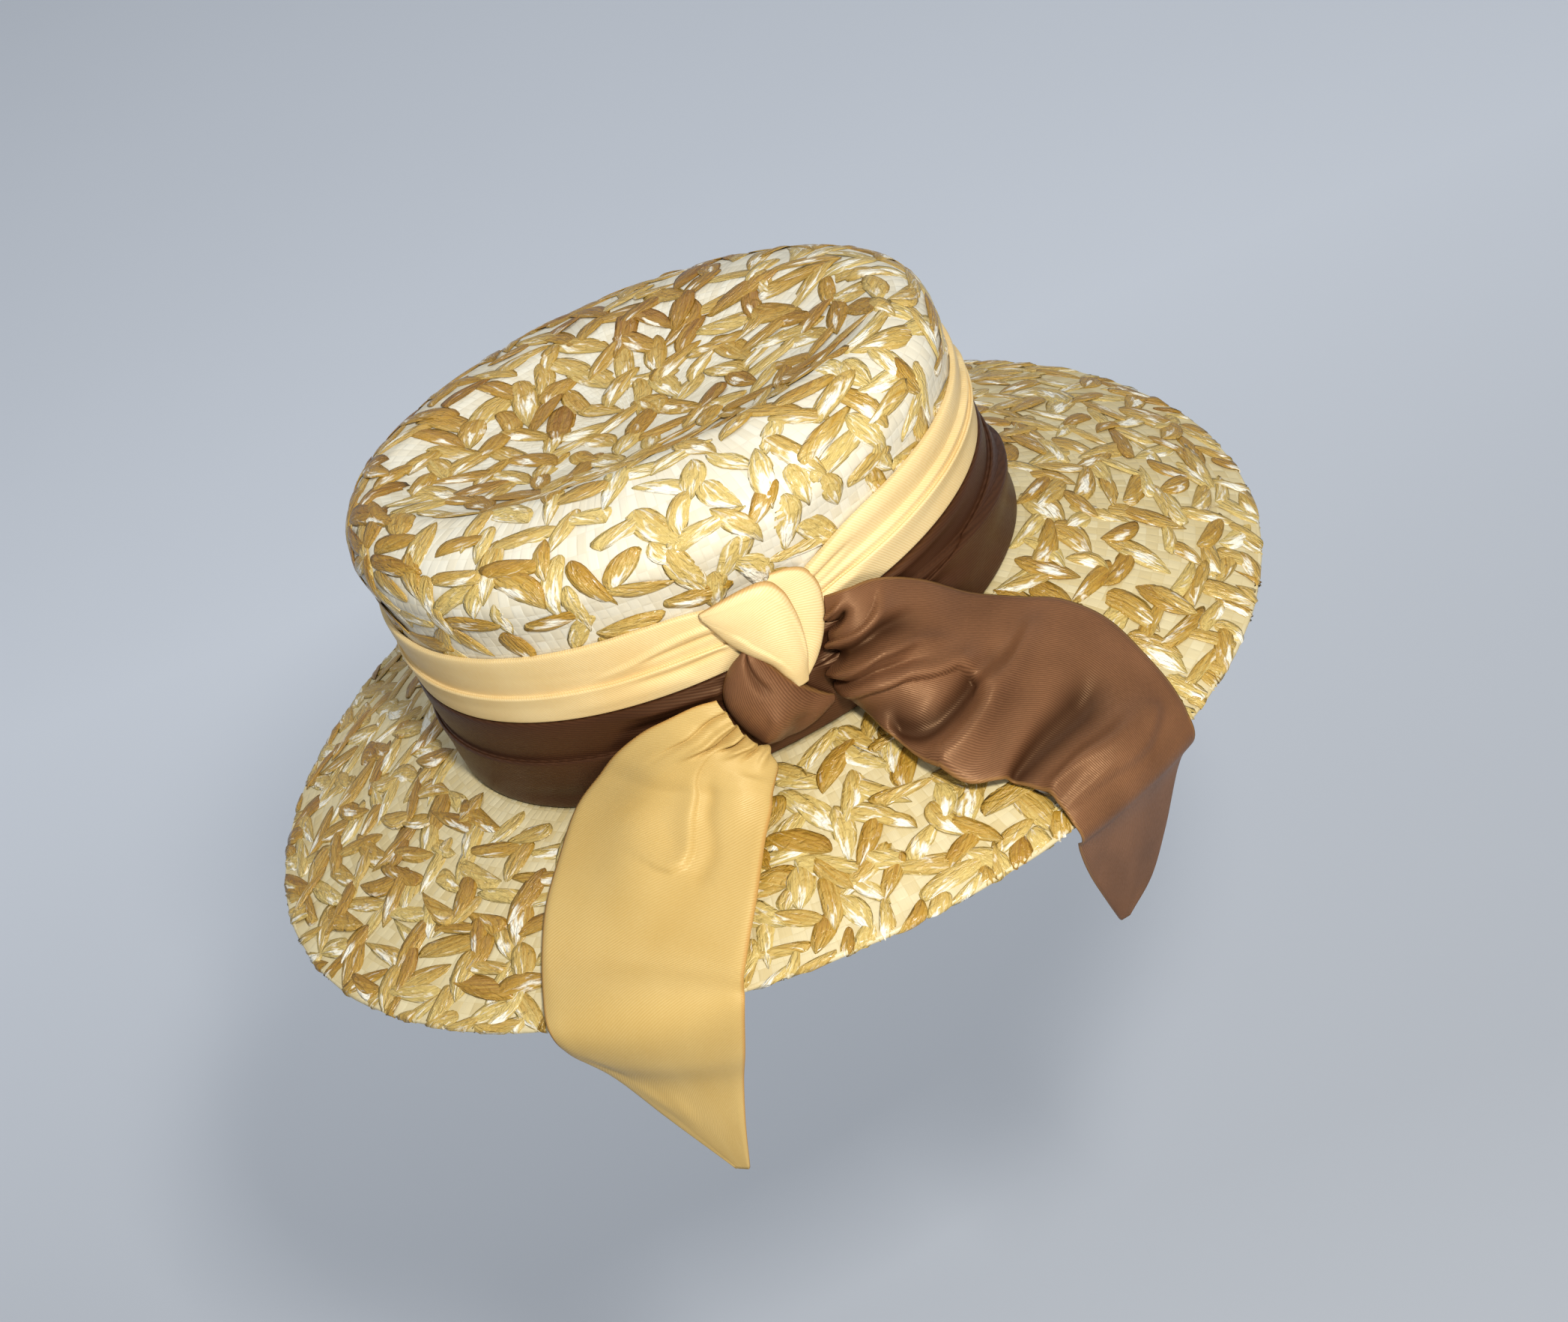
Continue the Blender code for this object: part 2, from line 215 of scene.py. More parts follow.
def round_mesh(
    name: str, grid: Array, travel: Array, radius: float, marks: dict[str, Array] | None = None
) -> Object:
    """Makes a mesh of rows of points that each close round the hat.

    Args:
        name: the piece's name.
        grid: the points, as row, column and x, y, z.
        travel: metres along the skin for each row, and one more where the last row joins the first.
        radius: what an angle is multiplied by to give the metres round the hat.
        marks: values for each point, kept under these names, if there are any.

    Returns:
        The linked object, with its poles closed and its faces outwards.
    """
    rows, columns = grid.shape[:2]
    quads = quad_grid(rows, columns, len(travel) > rows, True)
    along = np.arange(columns + 1) * FULL_TURN / columns * radius
    lay = np.stack(np.broadcast_arrays(along[None, :], travel[:, None]), axis=-1).reshape(-1, 2)
    corners = quad_grid(len(travel), columns + 1)
    piece = mesh_object(name, grid.reshape(-1, 3), quads, lay[corners], marks)
    close_poles(piece)
    return piece


def thicken(piece: Object, thickness: float, offset: float) -> None:
    """Gives a sheet its thickness, on one side of it for an offset of -1 and on both for 0.

    Args:
        piece: the sheet's object, which gets a modifier.
        thickness: metres.
        offset: which side of the sheet the thickness lies on.
    """
    wall = piece.modifiers.new("thickness", "SOLIDIFY")
    wall.thickness = thickness
    wall.offset = offset
    wall.use_quality_normals = True


# Shader wiring


class Wiring:
    """Adds nodes to a tree and links whatever socket is passed as a value."""

    def __init__(self, tree: Tree) -> None:
        """Keeps the tree that the nodes go into."""
        self.tree = tree

    def add(self, kind: str, **settings: object) -> Node:
        """Adds a node of this kind and sets its properties.

        Args:
            kind: Blender's name for the node's type.
            settings: its properties by name.

        Returns:
            The node.
        """
        node = self.tree.nodes.new(kind)
        for key, value in settings.items():
            setattr(node, key, value)
        return node

    def put(self, target: Socket, value: Value) -> None:
        """Links a socket to the target, or sets the target's own value.

        Args:
            target: an input socket.
            value: a socket, a number or a colour.
        """
        if isinstance(value, Socket):
            self.tree.links.new(value, target)
        else:
            target.default_value = value

    def math(self, operation: str, *values: Value) -> Socket:
        """One step of arithmetic on one to three numbers.

        Args:
            operation: Blender's name for the step.
            values: its inputs in turn.

        Returns:
            The socket that gives it.
        """
        node = self.add("ShaderNodeMath", operation=operation)
        for socket, value in zip(node.inputs, values):
            self.put(socket, value)
        return node.outputs[0]

    def spread(self, vector: Value, factors: Sequence[float]) -> Socket:
        """A vector multiplied by a factor for each axis.

        Args:
            vector: the vector's socket.
            factors: x, y and z factors.

        Returns:
            The socket that gives it.
        """
        node = self.add("ShaderNodeVectorMath", operation="MULTIPLY")
        self.put(node.inputs[0], vector)
        node.inputs[1].default_value = factors
        return node.outputs[0]

    def axes(self, vector: Value) -> tuple[Socket, ...]:
        """The x, y and z of a vector.

        Args:
            vector: the vector's socket.

        Returns:
            Three sockets.
        """
        node = self.add("ShaderNodeSeparateXYZ")
        self.put(node.inputs[0], vector)
        return tuple(node.outputs)

    def join(self, x: Value, y: Value) -> Socket:
        """A flat vector from x and y.

        Args:
            x: the first part.
            y: the second part.

        Returns:
            The socket that gives it.
        """
        node = self.add("ShaderNodeCombineXYZ")
        self.put(node.inputs[0], x)
        self.put(node.inputs[1], y)
        return node.outputs[0]

    def noise(self, vector: Value, scale: float, detail: float = 2.0, warp: float = 0.0) -> Socket:
        """Smooth noise from 0 to 1.

        Args:
            vector: where it is read.
            scale: waves for each unit of the vector.
            detail: how many finer layers are added.
            warp: how far it bends its own place.

        Returns:
            The socket that gives it.
        """
        node = self.add("ShaderNodeTexNoise")
        self.put(node.inputs["Vector"], vector)
        node.inputs["Scale"].default_value = scale
        node.inputs["Detail"].default_value = detail
        node.inputs["Distortion"].default_value = warp
        return node.outputs["Fac"]

    def chance(self, value: Value) -> Socket:
        """A fixed random number from 0 to 1 for each whole number.

        Args:
            value: the whole number's socket.

        Returns:
            The socket that gives it.
        """
        node = self.add("ShaderNodeTexWhiteNoise", noise_dimensions="1D")
        self.put(node.inputs["W"], value)
        return node.outputs["Value"]

    def ramp(
        self, value: Value, low: float, high: float, start: float = 0.0, end: float = 1.0
    ) -> Socket:
        """Maps low to start and high to end, and stays between them.

        Args:
            value: what is mapped.
            low: value that gives start.
            high: value that gives end.
            start: result at low.
            end: result at high.

        Returns:
            The socket that gives it.
        """
        node = self.add("ShaderNodeMapRange")
        self.put(node.inputs["Value"], value)
        node.inputs["From Min"].default_value = low
        node.inputs["From Max"].default_value = high
        node.inputs["To Min"].default_value = start
        node.inputs["To Max"].default_value = end
        return node.outputs["Result"]

    def blend(self, share: Value, first: Value, second: Value) -> Socket:
        """The first colour at a share of 0, the second at 1.

        Args:
            share: how much of the second colour.
            first: a colour or its socket.
            second: a colour or its socket.

        Returns:
            The socket that gives it.
        """
        node = self.add("ShaderNodeMix", data_type="RGBA", clamp_factor=True)
        sockets = [s for s in node.inputs if s.enabled]
        for socket, value in zip(sockets, (share, first, second)):
            self.put(socket, (*value, 1.0) if isinstance(value, tuple) else value)
        return [s for s in node.outputs if s.enabled][0]

    def bump(self, height: Value, strength: float, depth: float) -> Socket:
        """A normal that follows a height, where a height of 1 stands for this depth.

        Args:
            height: the height's socket.
            strength: share of the effect.
            depth: metres.

        Returns:
            The socket that gives it.
        """
        node = self.add("ShaderNodeBump")
        node.inputs["Strength"].default_value = strength
        node.inputs["Distance"].default_value = depth
        self.put(node.inputs["Height"], height)
        return node.outputs["Normal"]

    def mark(self, name: str) -> Socket:
        """A point attribute of the piece."""
        return self.add("ShaderNodeAttribute", attribute_name=name).outputs["Fac"]

    def lay(self) -> Socket:
        """The piece's own map of metres along and across its surface."""
        return self.add("ShaderNodeUVMap", uv_map="Lay").outputs[0]

    def group(self, tree: Tree, **values: Value) -> Node:
        """Places a shared group and fills its named inputs.

        Args:
            tree: the shared group.
            values: what goes into its inputs, by name.

        Returns:
            The group's node.
        """
        node = self.add("ShaderNodeGroup", node_tree=tree)
        for key, value in values.items():
            self.put(node.inputs[key.replace("_", " ").capitalize()], value)
        return node


def new_group(
    name: str, inputs: Sequence[tuple[str, str]], outputs: Sequence[str]
) -> tuple[Wiring, dict[str, Socket], Node]:
    """Starts a shader group with named sockets.

    Args:
        name: the group's name.
        inputs: name and kind, Vector or Float, of each input.
        outputs: the name of each output, all of them numbers.

    Returns:
        Its wiring, its input sockets by name, and its output node.
    """
    tree = bpy.data.node_groups.new(name, "ShaderNodeTree")
    for label, kind in inputs:
        tree.interface.new_socket(name=label, in_out="INPUT", socket_type="NodeSocket" + kind)
    for label in outputs:
        tree.interface.new_socket(name=label, in_out="OUTPUT", socket_type="NodeSocketFloat")
    wiring = Wiring(tree)
    source = wiring.add("NodeGroupInput")
    return wiring, {s.name: s for s in source.outputs}, wiring.add("NodeGroupOutput")


def make_basket_weave() -> Tree:
    """Plain weave of flat strips: which strip is on top swaps from one square cell to the next.

    Height is the rounded section of the strip on top times its dive at the cell's ends, and Tone is
    a random number for each strip.

    Returns:
        The group's tree.
    """
    above_zero, other_way, squareness, dive_share = 1000.0, 5000.0, 6.0, 0.6
    sockets = (("Vector", "Vector"), ("Cell", "Float"))
    w, given, out = new_group("basket_weave", sockets, ("Height", "Tone"))
    x, y, _ = w.axes(given["Vector"])
    x = w.math("ADD", w.math("DIVIDE", x, given["Cell"]), above_zero)
    y = w.math("ADD", w.math("DIVIDE", y, given["Cell"]), above_zero)
    column, row = w.math("FLOOR", x), w.math("FLOOR", y)
    swap = w.math("MODULO", w.math("ADD", column, row), 2.0)
    inside_x, inside_y = w.math("FRACT", x), w.math("FRACT", y)
    gap = w.math("SUBTRACT", inside_y, inside_x)
    across = w.math("MULTIPLY_ADD", gap, swap, inside_x)
    along = w.math("SUBTRACT", w.math("ADD", inside_x, inside_y), across)
    off_centre = w.math("ABSOLUTE", w.math("MULTIPLY_ADD", across, 2.0, -1.0))
    rounded = w.math("SUBTRACT", 1.0, w.math("POWER", off_centre, squareness))
    dive = w.math("SINE", w.math("MULTIPLY", along, math.pi))
    sunk = w.math("MULTIPLY_ADD", dive, dive_share, 1.0 - dive_share)
    w.put(out.inputs["Height"], w.math("MULTIPLY", rounded, sunk))
    strip = w.math("MULTIPLY_ADD", w.math("SUBTRACT", row, column), swap, column)
    w.put(out.inputs["Tone"], w.chance(w.math("MULTIPLY_ADD", swap, other_way, strip)))
    return w.tree


def make_fibres() -> Tree:
    """Long fibres: noise stretched along y. Fine is hair-thin and Broad a few times wider. Crinkle is the
    small kinks of a dried leaf, and Streak the broken patches where a painted highlight lies.

    Returns:
        The group's tree.
    """
    kinds = {
        "Fine": {"per_metre": (4200.0, 90.0, 1.0), "detail": 3.0, "warp": 0.0},
        "Broad": {"per_metre": (1100.0, 60.0, 1.0), "detail": 2.0, "warp": 0.4},
        "Crinkle": {"per_metre": (520.0, 260.0, 1.0), "detail": 2.0, "warp": 0.8},
        # painted highlight: the mask of the leaves' silvery streaks
        "Streak": {"per_metre": (560.0, 120.0, 1.0), "detail": 5.0, "warp": 0.8},
    }
    w, given, out = new_group("straw_fibres", (("Vector", "Vector"),), tuple(kinds))
    for label, kind in kinds.items():
        stretched = w.spread(given["Vector"], kind["per_metre"])
        w.put(out.inputs[label], w.noise(stretched, 1.0, kind["detail"], kind["warp"]))
    return w.tree


def make_satin_rib() -> Tree:
    """Fine slanted ribs of a woven satin: a sine across lines turned by Slant, with uneven threads.

    Returns:
        The group's tree.
    """
    threads_per_metre = (2400.0, 500.0, 1.0)
    inputs = (("Vector", "Vector"), ("Spacing", "Float"), ("Slant", "Float"))
    w, given, out = new_group("satin_rib", inputs, ("Height", "Thread"))
    x, y, _ = w.axes(given["Vector"])
    turned = w.math(
        "ADD",
        w.math("MULTIPLY", x, w.math("COSINE", given["Slant"])),
        w.math("MULTIPLY", y, w.math("SINE", given["Slant"])),
    )
    other = w.math(
        "SUBTRACT",
        w.math("MULTIPLY", y, w.math("COSINE", given["Slant"])),
        w.math("MULTIPLY", x, w.math("SINE", given["Slant"])),
    )
    phase = w.math("MULTIPLY", w.math("DIVIDE", turned, given["Spacing"]), FULL_TURN)
    wave = w.math("MULTIPLY_ADD", w.math("SINE", phase), 0.5, 0.5)
    w.put(out.inputs["Height"], wave)
    w.put(out.inputs["Thread"], w.noise(w.spread(w.join(turned, other), threads_per_metre), 1.0, 2.0))
    return w.tree


BASKET_WEAVE = make_basket_weave()
STRAW_FIBRES = make_fibres()
SATIN_RIB = make_satin_rib()


# Finishes


def new_material(name: str) -> tuple[Material, Wiring, Node]:
    """A material with its Principled shader, and the wiring to dress it with.

    Args:
        name: the material's name.

    Returns:
        The material, its wiring and its shader node.
    """
    material = bpy.data.materials.new(name)
    material.use_nodes = True
    return material, Wiring(material.node_tree), material.node_tree.nodes["Principled BSDF"]


@dataclass(frozen=True)
class BasketStraw:
    """Pale flat strips in a plain weave, under the leaves."""

    light: Colour = (0.71, 0.68, 0.56)
    dark: Colour = (0.61, 0.54, 0.38)
    cell: float = 3.7 * MM
    relief: float = 0.35 * MM
    relief_strength: float = 0.4
    fibre_relief: float = 0.2
    strip_share: float = 0.35
    fibre_share: float = 0.35
    patch_share: float = 0.55
    patches_per_metre: float = 38.0
    gap_share: float = 0.55
    rough: Pair = (0.34, 0.52)
    coat: float = 0.15
    coat_rough: float = 0.3

    def build(self, name: str) -> Material:
        """Colour by strip and fibre, dark in the gaps, with the weave as relief.

        Args:
            name: the material's name.

        Returns:
            The material.
        """
        material, w, shader = new_material(name)
        lay = w.lay()
        weave = w.group(BASKET_WEAVE, vector=lay, cell=self.cell)
        fibres = w.group(STRAW_FIBRES, vector=lay)
        patch = w.noise(lay, self.patches_per_metre, 2.0)
        fibre = w.math("MULTIPLY", fibres.outputs["Fine"], self.fibre_share)
        tone = w.math("MULTIPLY_ADD", weave.outputs["Tone"], self.strip_share, fibre)
        tone = w.math("MULTIPLY_ADD", patch, self.patch_share, tone)
        body = w.blend(w.ramp(tone, 0.35, 0.95), self.light, self.dark)
        gaps = w.ramp(weave.outputs["Height"], 0.02, 0.26, self.gap_share, 0.0)
        w.put(shader.inputs["Base Color"], w.blend(gaps, body, self.dark))
        w.put(shader.inputs["Roughness"], w.ramp(fibres.outputs["Broad"], 0.3, 0.7, *self.rough))
        height = w.math("MULTIPLY_ADD", fibres.outputs["Fine"], self.fibre_relief, weave.outputs["Height"])
        w.put(shader.inputs["Normal"], w.bump(height, self.relief_strength, self.relief))
        shader.inputs["Coat Weight"].default_value = self.coat
        shader.inputs["Coat Roughness"].default_value = self.coat_rough
        return material


@dataclass(frozen=True)
class LeafStraw:
    """Glossy dimpled dried leaf, golden with darker fibres, with painted highlights in silvery streaks and
    painted shade at one end.
    """

    painted_glint_colour: Colour = (0.93, 0.89, 0.74)
    pale: Colour = (0.62, 0.465, 0.15)
    gold: Colour = (0.44, 0.250, 0.032)
    tan: Colour = (0.25, 0.108, 0.008)
    relief: float = 1.1 * MM
    leaf_share: float = 0.7
    end_painted_shade_share: float = 0.55
    painted_glint_dulling: float = -0.10
    painted_glint_spot_share: float = 0.42
    most_painted_glint: float = 0.95
    rough: Pair = (0.18, 0.32)
    fibre_depths: tuple[float, float, float] = (0.5, 0.22, 1.2)
    gloss: float = 0.4
    coat: float = 0.18
    coat_rough: float = 0.12

    def build(self, name: str) -> Material:
        """Colour by leaf and fibre, with painted shade towards one end, painted silvery highlights in
        streaks and spots, and a shiny skin broken up by its fibres.

        Args:
            name: the material's name.

        Returns:
            The material.
        """
        material, w, shader = new_material(name)
        fibres = w.group(STRAW_FIBRES, vector=w.lay())
        tone = w.math("MULTIPLY_ADD", w.mark("tone"), self.leaf_share, fibres.outputs["Broad"])
        # painted shade: the upper mark darkens each leaf towards its end and edge that face the light
        tone = w.math("MULTIPLY_ADD", w.mark("upper"), self.end_painted_shade_share, tone)
        body = w.blend(w.ramp(tone, 0.45, 1.00), self.pale, self.gold)
        body = w.blend(w.ramp(tone, 1.00, 1.50), body, self.tan)
        body = w.blend(w.ramp(fibres.outputs["Fine"], 0.30, 0.50, 0.30, 0.0), body, self.tan)
        # painted highlight: silvery streaks and a spot on each leaf, blended into the base colour
        painted_glint_amount = w.math("MULTIPLY_ADD", w.mark("tone"), self.painted_glint_dulling, fibres.outputs["Streak"])
        painted_glint_amount = w.math("MULTIPLY_ADD", w.mark("glint"), self.painted_glint_spot_share, painted_glint_amount)
        painted_glint_amount = w.ramp(painted_glint_amount, 0.58, 0.74, 0.0, self.most_painted_glint)
        w.put(shader.inputs["Base Color"], w.blend(painted_glint_amount, body, self.painted_glint_colour))
        w.put(shader.inputs["Roughness"], w.ramp(fibres.outputs["Fine"], 0.3, 0.7, *self.rough))
        broad, fine, crinkle = self.fibre_depths
        height = w.math("MULTIPLY", fibres.outputs["Fine"], fine)
        height = w.math("MULTIPLY_ADD", fibres.outputs["Broad"], broad, height)
        height = w.math("MULTIPLY_ADD", fibres.outputs["Crinkle"], crinkle, height)
        w.put(shader.inputs["Normal"], w.bump(height, 1.0, self.relief))
        shader.inputs["Specular IOR Level"].default_value = self.gloss
        shader.inputs["Coat Weight"].default_value = self.coat
        shader.inputs["Coat Roughness"].default_value = self.coat_rough
        return material


@dataclass(frozen=True)
class SatinRibbon:
    """Woven satin with a fine slanted rib."""

    colour: Colour
    deep_tone_and_shade: Colour
    sheen: Colour
    rough: float
    slant: float
    edge: Colour
    contrast: float
    gloss: float
    hollow_shade_share: float = 0.9
    spacing: float = 0.8 * MM
    patches_per_metre: float = 30.0
    patch_share: float = 0.7
    thread_share: float = 0.3
    thread_relief: float = 0.25
    relief_strength: float = 0.5
    rough_spread: float = 0.05
    edge_share: float = 0.7
    relief: float = 0.09 * MM

    def build(self, name: str) -> Material:
        """Colour varied by thread and soft patches, darkened by painted shade in the folds' hollows, with
        the rib as relief and a satin sheen.

        Args:
            name: the material's name.

        Returns:
            The material.
        """
        material, w, shader = new_material(name)
        lay = w.lay()
        rib = w.group(SATIN_RIB, vector=lay, spacing=self.spacing, slant=self.slant)
        patch = w.noise(lay, self.patches_per_metre, 2.0)
        thread = w.math("MULTIPLY", rib.outputs["Thread"], self.thread_share)
        tone = w.math("MULTIPLY_ADD", patch, self.patch_share, thread)
        body = w.blend(w.ramp(tone, 0.40, 0.65, 0.0, 0.45), self.colour, self.deep_tone_and_shade)
        body = w.blend(w.ramp(rib.outputs["Height"], 0.0, 0.7, self.contrast, 0.0), body, self.deep_tone_and_shade)
        # painted shade: darker in the folds' hollows
        body = w.blend(w.ramp(w.mark("hollow"), 0.0, 1.0, 0.0, self.hollow_shade_share), body, self.deep_tone_and_shade)
        border = w.ramp(w.mark("edge"), 0.3, 0.9, 0.0, self.edge_share)
        w.put(shader.inputs["Base Color"], w.blend(border, body, self.edge))
        smoother, rougher = self.rough - self.rough_spread, self.rough + self.rough_spread
        w.put(shader.inputs["Roughness"], w.ramp(rib.outputs["Thread"], 0.3, 0.7, smoother, rougher))
        height = w.math("MULTIPLY_ADD", rib.outputs["Thread"], self.thread_relief, rib.outputs["Height"])
        w.put(shader.inputs["Normal"], w.bump(height, self.relief_strength, self.relief))
        shader.inputs["Specular Tint"].default_value = (*self.sheen, 1.0)
        shader.inputs["Specular IOR Level"].default_value = self.gloss
        return material


# The straw's form


@dataclass(frozen=True)
class HatForm:
    """Sizes of the straw, and its surfaces as formulas of an angle round the crown."""

    straw: float = 2.0 * MM
    oval_power: float = 2.05
    head: Pair = (101.0 * MM, 85.0 * MM)
    waist_height: float = 50.0 * MM
    shoulder_height: float = 79.0 * MM
    shoulder: Pair = (103.0 * MM, 89.5 * MM)
    ridge_height: float = 94.0 * MM
    ridge: Pair = (87.5 * MM, 54.0 * MM)
    ridge_lean: float = 5.0 * MM
    dish_height: float = 80.0 * MM
    dish_power: float = 2.2
    shoulder_power: float = 1.95
    brim: Pair = (178.0 * MM, 161.0 * MM)
    brim_twist: float = 4.5 * MM
    brim_wave: float = 1.7 * MM
    brim_shift: float = 1.0 * MM
    brim_drop: float = 27.0 * MM
    brim_front_drop: float = 2.0 * MM
    brim_saddle: float = 5.0 * MM
    brim_side_lift: float = 2.0 * MM
    brim_bend: float = 0.2
    foot_rise: float = 6.0 * MM

    def oval(self, angle: Array, half_length: Array, half_width: Array) -> Array:
        """Radius of a slightly squared oval: (|cos/a|^p + |sin/b|^p)^(-1/p).

        Args:
            angle: angles round the hat, in radians.
            half_length: radius in front and behind.
            half_width: radius at the sides.

        Returns:
            The radius at each angle.
        """
        power = self.oval_power
        lengthwise = np.abs(np.cos(angle) / half_length) ** power
        sideways = np.abs(np.sin(angle) / half_width) ** power
        return (lengthwise + sideways) ** (-1.0 / power)

    def wall_radius(self, angle: Array, height: Array) -> Array:
        """Radius of the crown's wall, which swells with the square of the height over its waist.

        Args:
            angle: angles round the hat, in radians.
            height: metres above the opening.

        Returns:
            The radius of the outer face.
        """
        rise = (height - self.waist_height) / (self.shoulder_height - self.waist_height)
        swell = np.clip(rise, 0.0, 1.0) ** 2
        half_length = self.head[0] + (self.shoulder[0] - self.head[0]) * swell
        half_width = self.head[1] + (self.shoulder[1] - self.head[1]) * swell
        return self.oval(angle, half_length, half_width)

    def foot_height(self, angle: Array) -> Array:
        """Height of the line where crown and brim meet, a cosine that rises to the front."""
        return self.foot_rise * np.cos(angle)

    def crown(self, angle: Array, station: Array) -> Array:
        """The crown's outer face.

        Station 0 to 1 climbs the wall, 1 to 2 turns over the shoulder on a superellipse to the
        ridge, and 2 to 3 goes down into the dish, a power of the distance from its middle.

        Args:
            angle: angles round the hat, in radians.
            station: how far up the crown, for each angle.

        Returns:
            Points as x, y, z.
        """
        angle, station = np.broadcast_arrays(angle, station)
        foot = self.foot_height(angle) - self.straw
        wall_z = foot + (self.shoulder_height - foot) * np.clip(station, 0.0, 1.0)
        ridge_z = self.ridge_height - self.ridge_lean * np.sin(angle)
        turn = np.clip(station - 1.0, 0.0, 1.0) * math.pi / 2
        inward = np.maximum(np.cos(turn), 0.0) ** (2.0 / self.shoulder_power)
        upward = np.sin(turn) ** (2.0 / self.shoulder_power)
        half_length = self.ridge[0] + (self.shoulder[0] - self.ridge[0]) * inward
        half_width = self.ridge[1] + (self.shoulder[1] - self.ridge[1]) * inward
        turn_r = self.oval(angle, half_length, half_width)
        turn_z = self.shoulder_height + (ridge_z - self.shoulder_height) * upward
        share = np.clip(3.0 - station, 0.0, 1.0)
        dish_r = share * self.oval(angle, self.ridge[0], self.ridge[1])
        dish_z = self.dish_height + (ridge_z - self.dish_height) * share**self.dish_power
        wall_r = self.wall_radius(angle, wall_z)
        radius = np.where(station < 1.0, wall_r, np.where(station < 2.0, turn_r, dish_r))
        height = np.where(station < 1.0, wall_z, np.where(station < 2.0, turn_z, dish_z))
        return np.stack((radius * np.cos(angle), radius * np.sin(angle), height), axis=-1)

    def top(self, x: Array, y: Array) -> Array:
        """The crown's top over a place in plan: the dish inside its ridge, the shoulder outside.

        Outside, with s the share of the way from the ridge to the shoulder and p the shoulder's
        power, the height falls from the ridge's to the shoulder's by (1 - s^p)^(1/p).

        Args:
            x: metres forward.
            y: metres to the left.

        Returns:
            Points as x, y, z.
        """
        angle = np.arctan2(y, x)
        radius = np.hypot(x, y)
        ridge_r = self.oval(angle, *self.ridge)
        ridge_z = self.ridge_height - self.ridge_lean * np.sin(angle)
        share = np.minimum(radius / ridge_r, 1.0)
        dish = self.dish_height + (ridge_z - self.dish_height) * share**self.dish_power
        outward = np.clip((radius - ridge_r) / (self.oval(angle, *self.shoulder) - ridge_r), 0.0, 1.0)
        power = self.shoulder_power
        fall = (1.0 - outward**power) ** (1.0 / power)
        turn = self.shoulder_height + (ridge_z - self.shoulder_height) * fall
        return np.stack(np.broadcast_arrays(x, y, np.where(share < 1.0, dish, turn)), axis=-1)

    def edge_radius(self, angle: Array) -> Array:
        """Radius of the brim's edge, an oval with a slight twist and wave.

        Args:
            angle: angles round the hat, in radians.

        Returns:
            The radius at each angle.
        """
        half_length, half_width = self.brim
        ahead, aside = np.cos(angle) / half_length, np.sin(angle) / half_width
        plain = (np.abs(ahead) ** 2 + np.abs(aside) ** 2) ** -0.5
        shift = self.brim_shift * np.cos(angle)
        return plain + shift + self.brim_twist * np.sin(2 * angle) - self.brim_wave * np.cos(3 * angle)

    def brim_depth(self, angle: Array) -> Array:
        """How far the brim reaches out from the crown's foot, seen from above."""
        return self.edge_radius(angle) - self.wall_radius(angle, np.zeros_like(angle))

    def edge_height(self, angle: Array) -> Array:
        """Height of the brim's edge, lower at the front and back than at the sides.

        Args:
            angle: angles round the hat, in radians.

        Returns:
            The height at each angle.
        """
        front = self.brim_front_drop * np.cos(angle)
        side = self.brim_side_lift * np.sin(angle)
        return side - self.brim_drop - front - self.brim_saddle * np.cos(2 * angle)

    def brim_height(self, angle: Array, radius: Array) -> Array:
        """Height of the brim's upper face, which bends down a little towards its edge.

        Args:
            angle: angles round the hat, in radians.
            radius: metres from the hat's axis.

        Returns:
            The height of each point.
        """
        start = self.wall_radius(angle, np.zeros_like(angle))
        share = np.maximum((radius - start) / (self.edge_radius(angle) - start), 0.0)
        fall = (1.0 - self.brim_bend) * share + self.brim_bend * share**2
        foot = self.foot_height(angle)
        return foot + (self.edge_height(angle) - foot) * fall

    def brim_face(self, angle: Array, reach: Array) -> Array:
        """The brim's skin by the distance past its edge: negative on top, then round the edge on a
        half circle of the straw's thickness, then back along the underside.

        Args:
            angle: angles round the hat, in radians.
            reach: metres past the edge, for each angle.

        Returns:
            Points as x, y, z.
        """
        angle, reach = np.broadcast_arrays(angle, reach)
        half = self.straw / 2
        edge = self.edge_radius(angle)
        turn = np.clip(reach / half, 0.0, math.pi)
        back = np.maximum(reach - math.pi * half, 0.0)
        radius = edge + np.minimum(reach, 0.0) - back
        height = self.brim_height(angle, radius) - half + half * np.cos(turn)
        radius = radius + half * np.sin(turn)
        return np.stack((radius * np.cos(angle), radius * np.sin(angle), height), axis=-1)

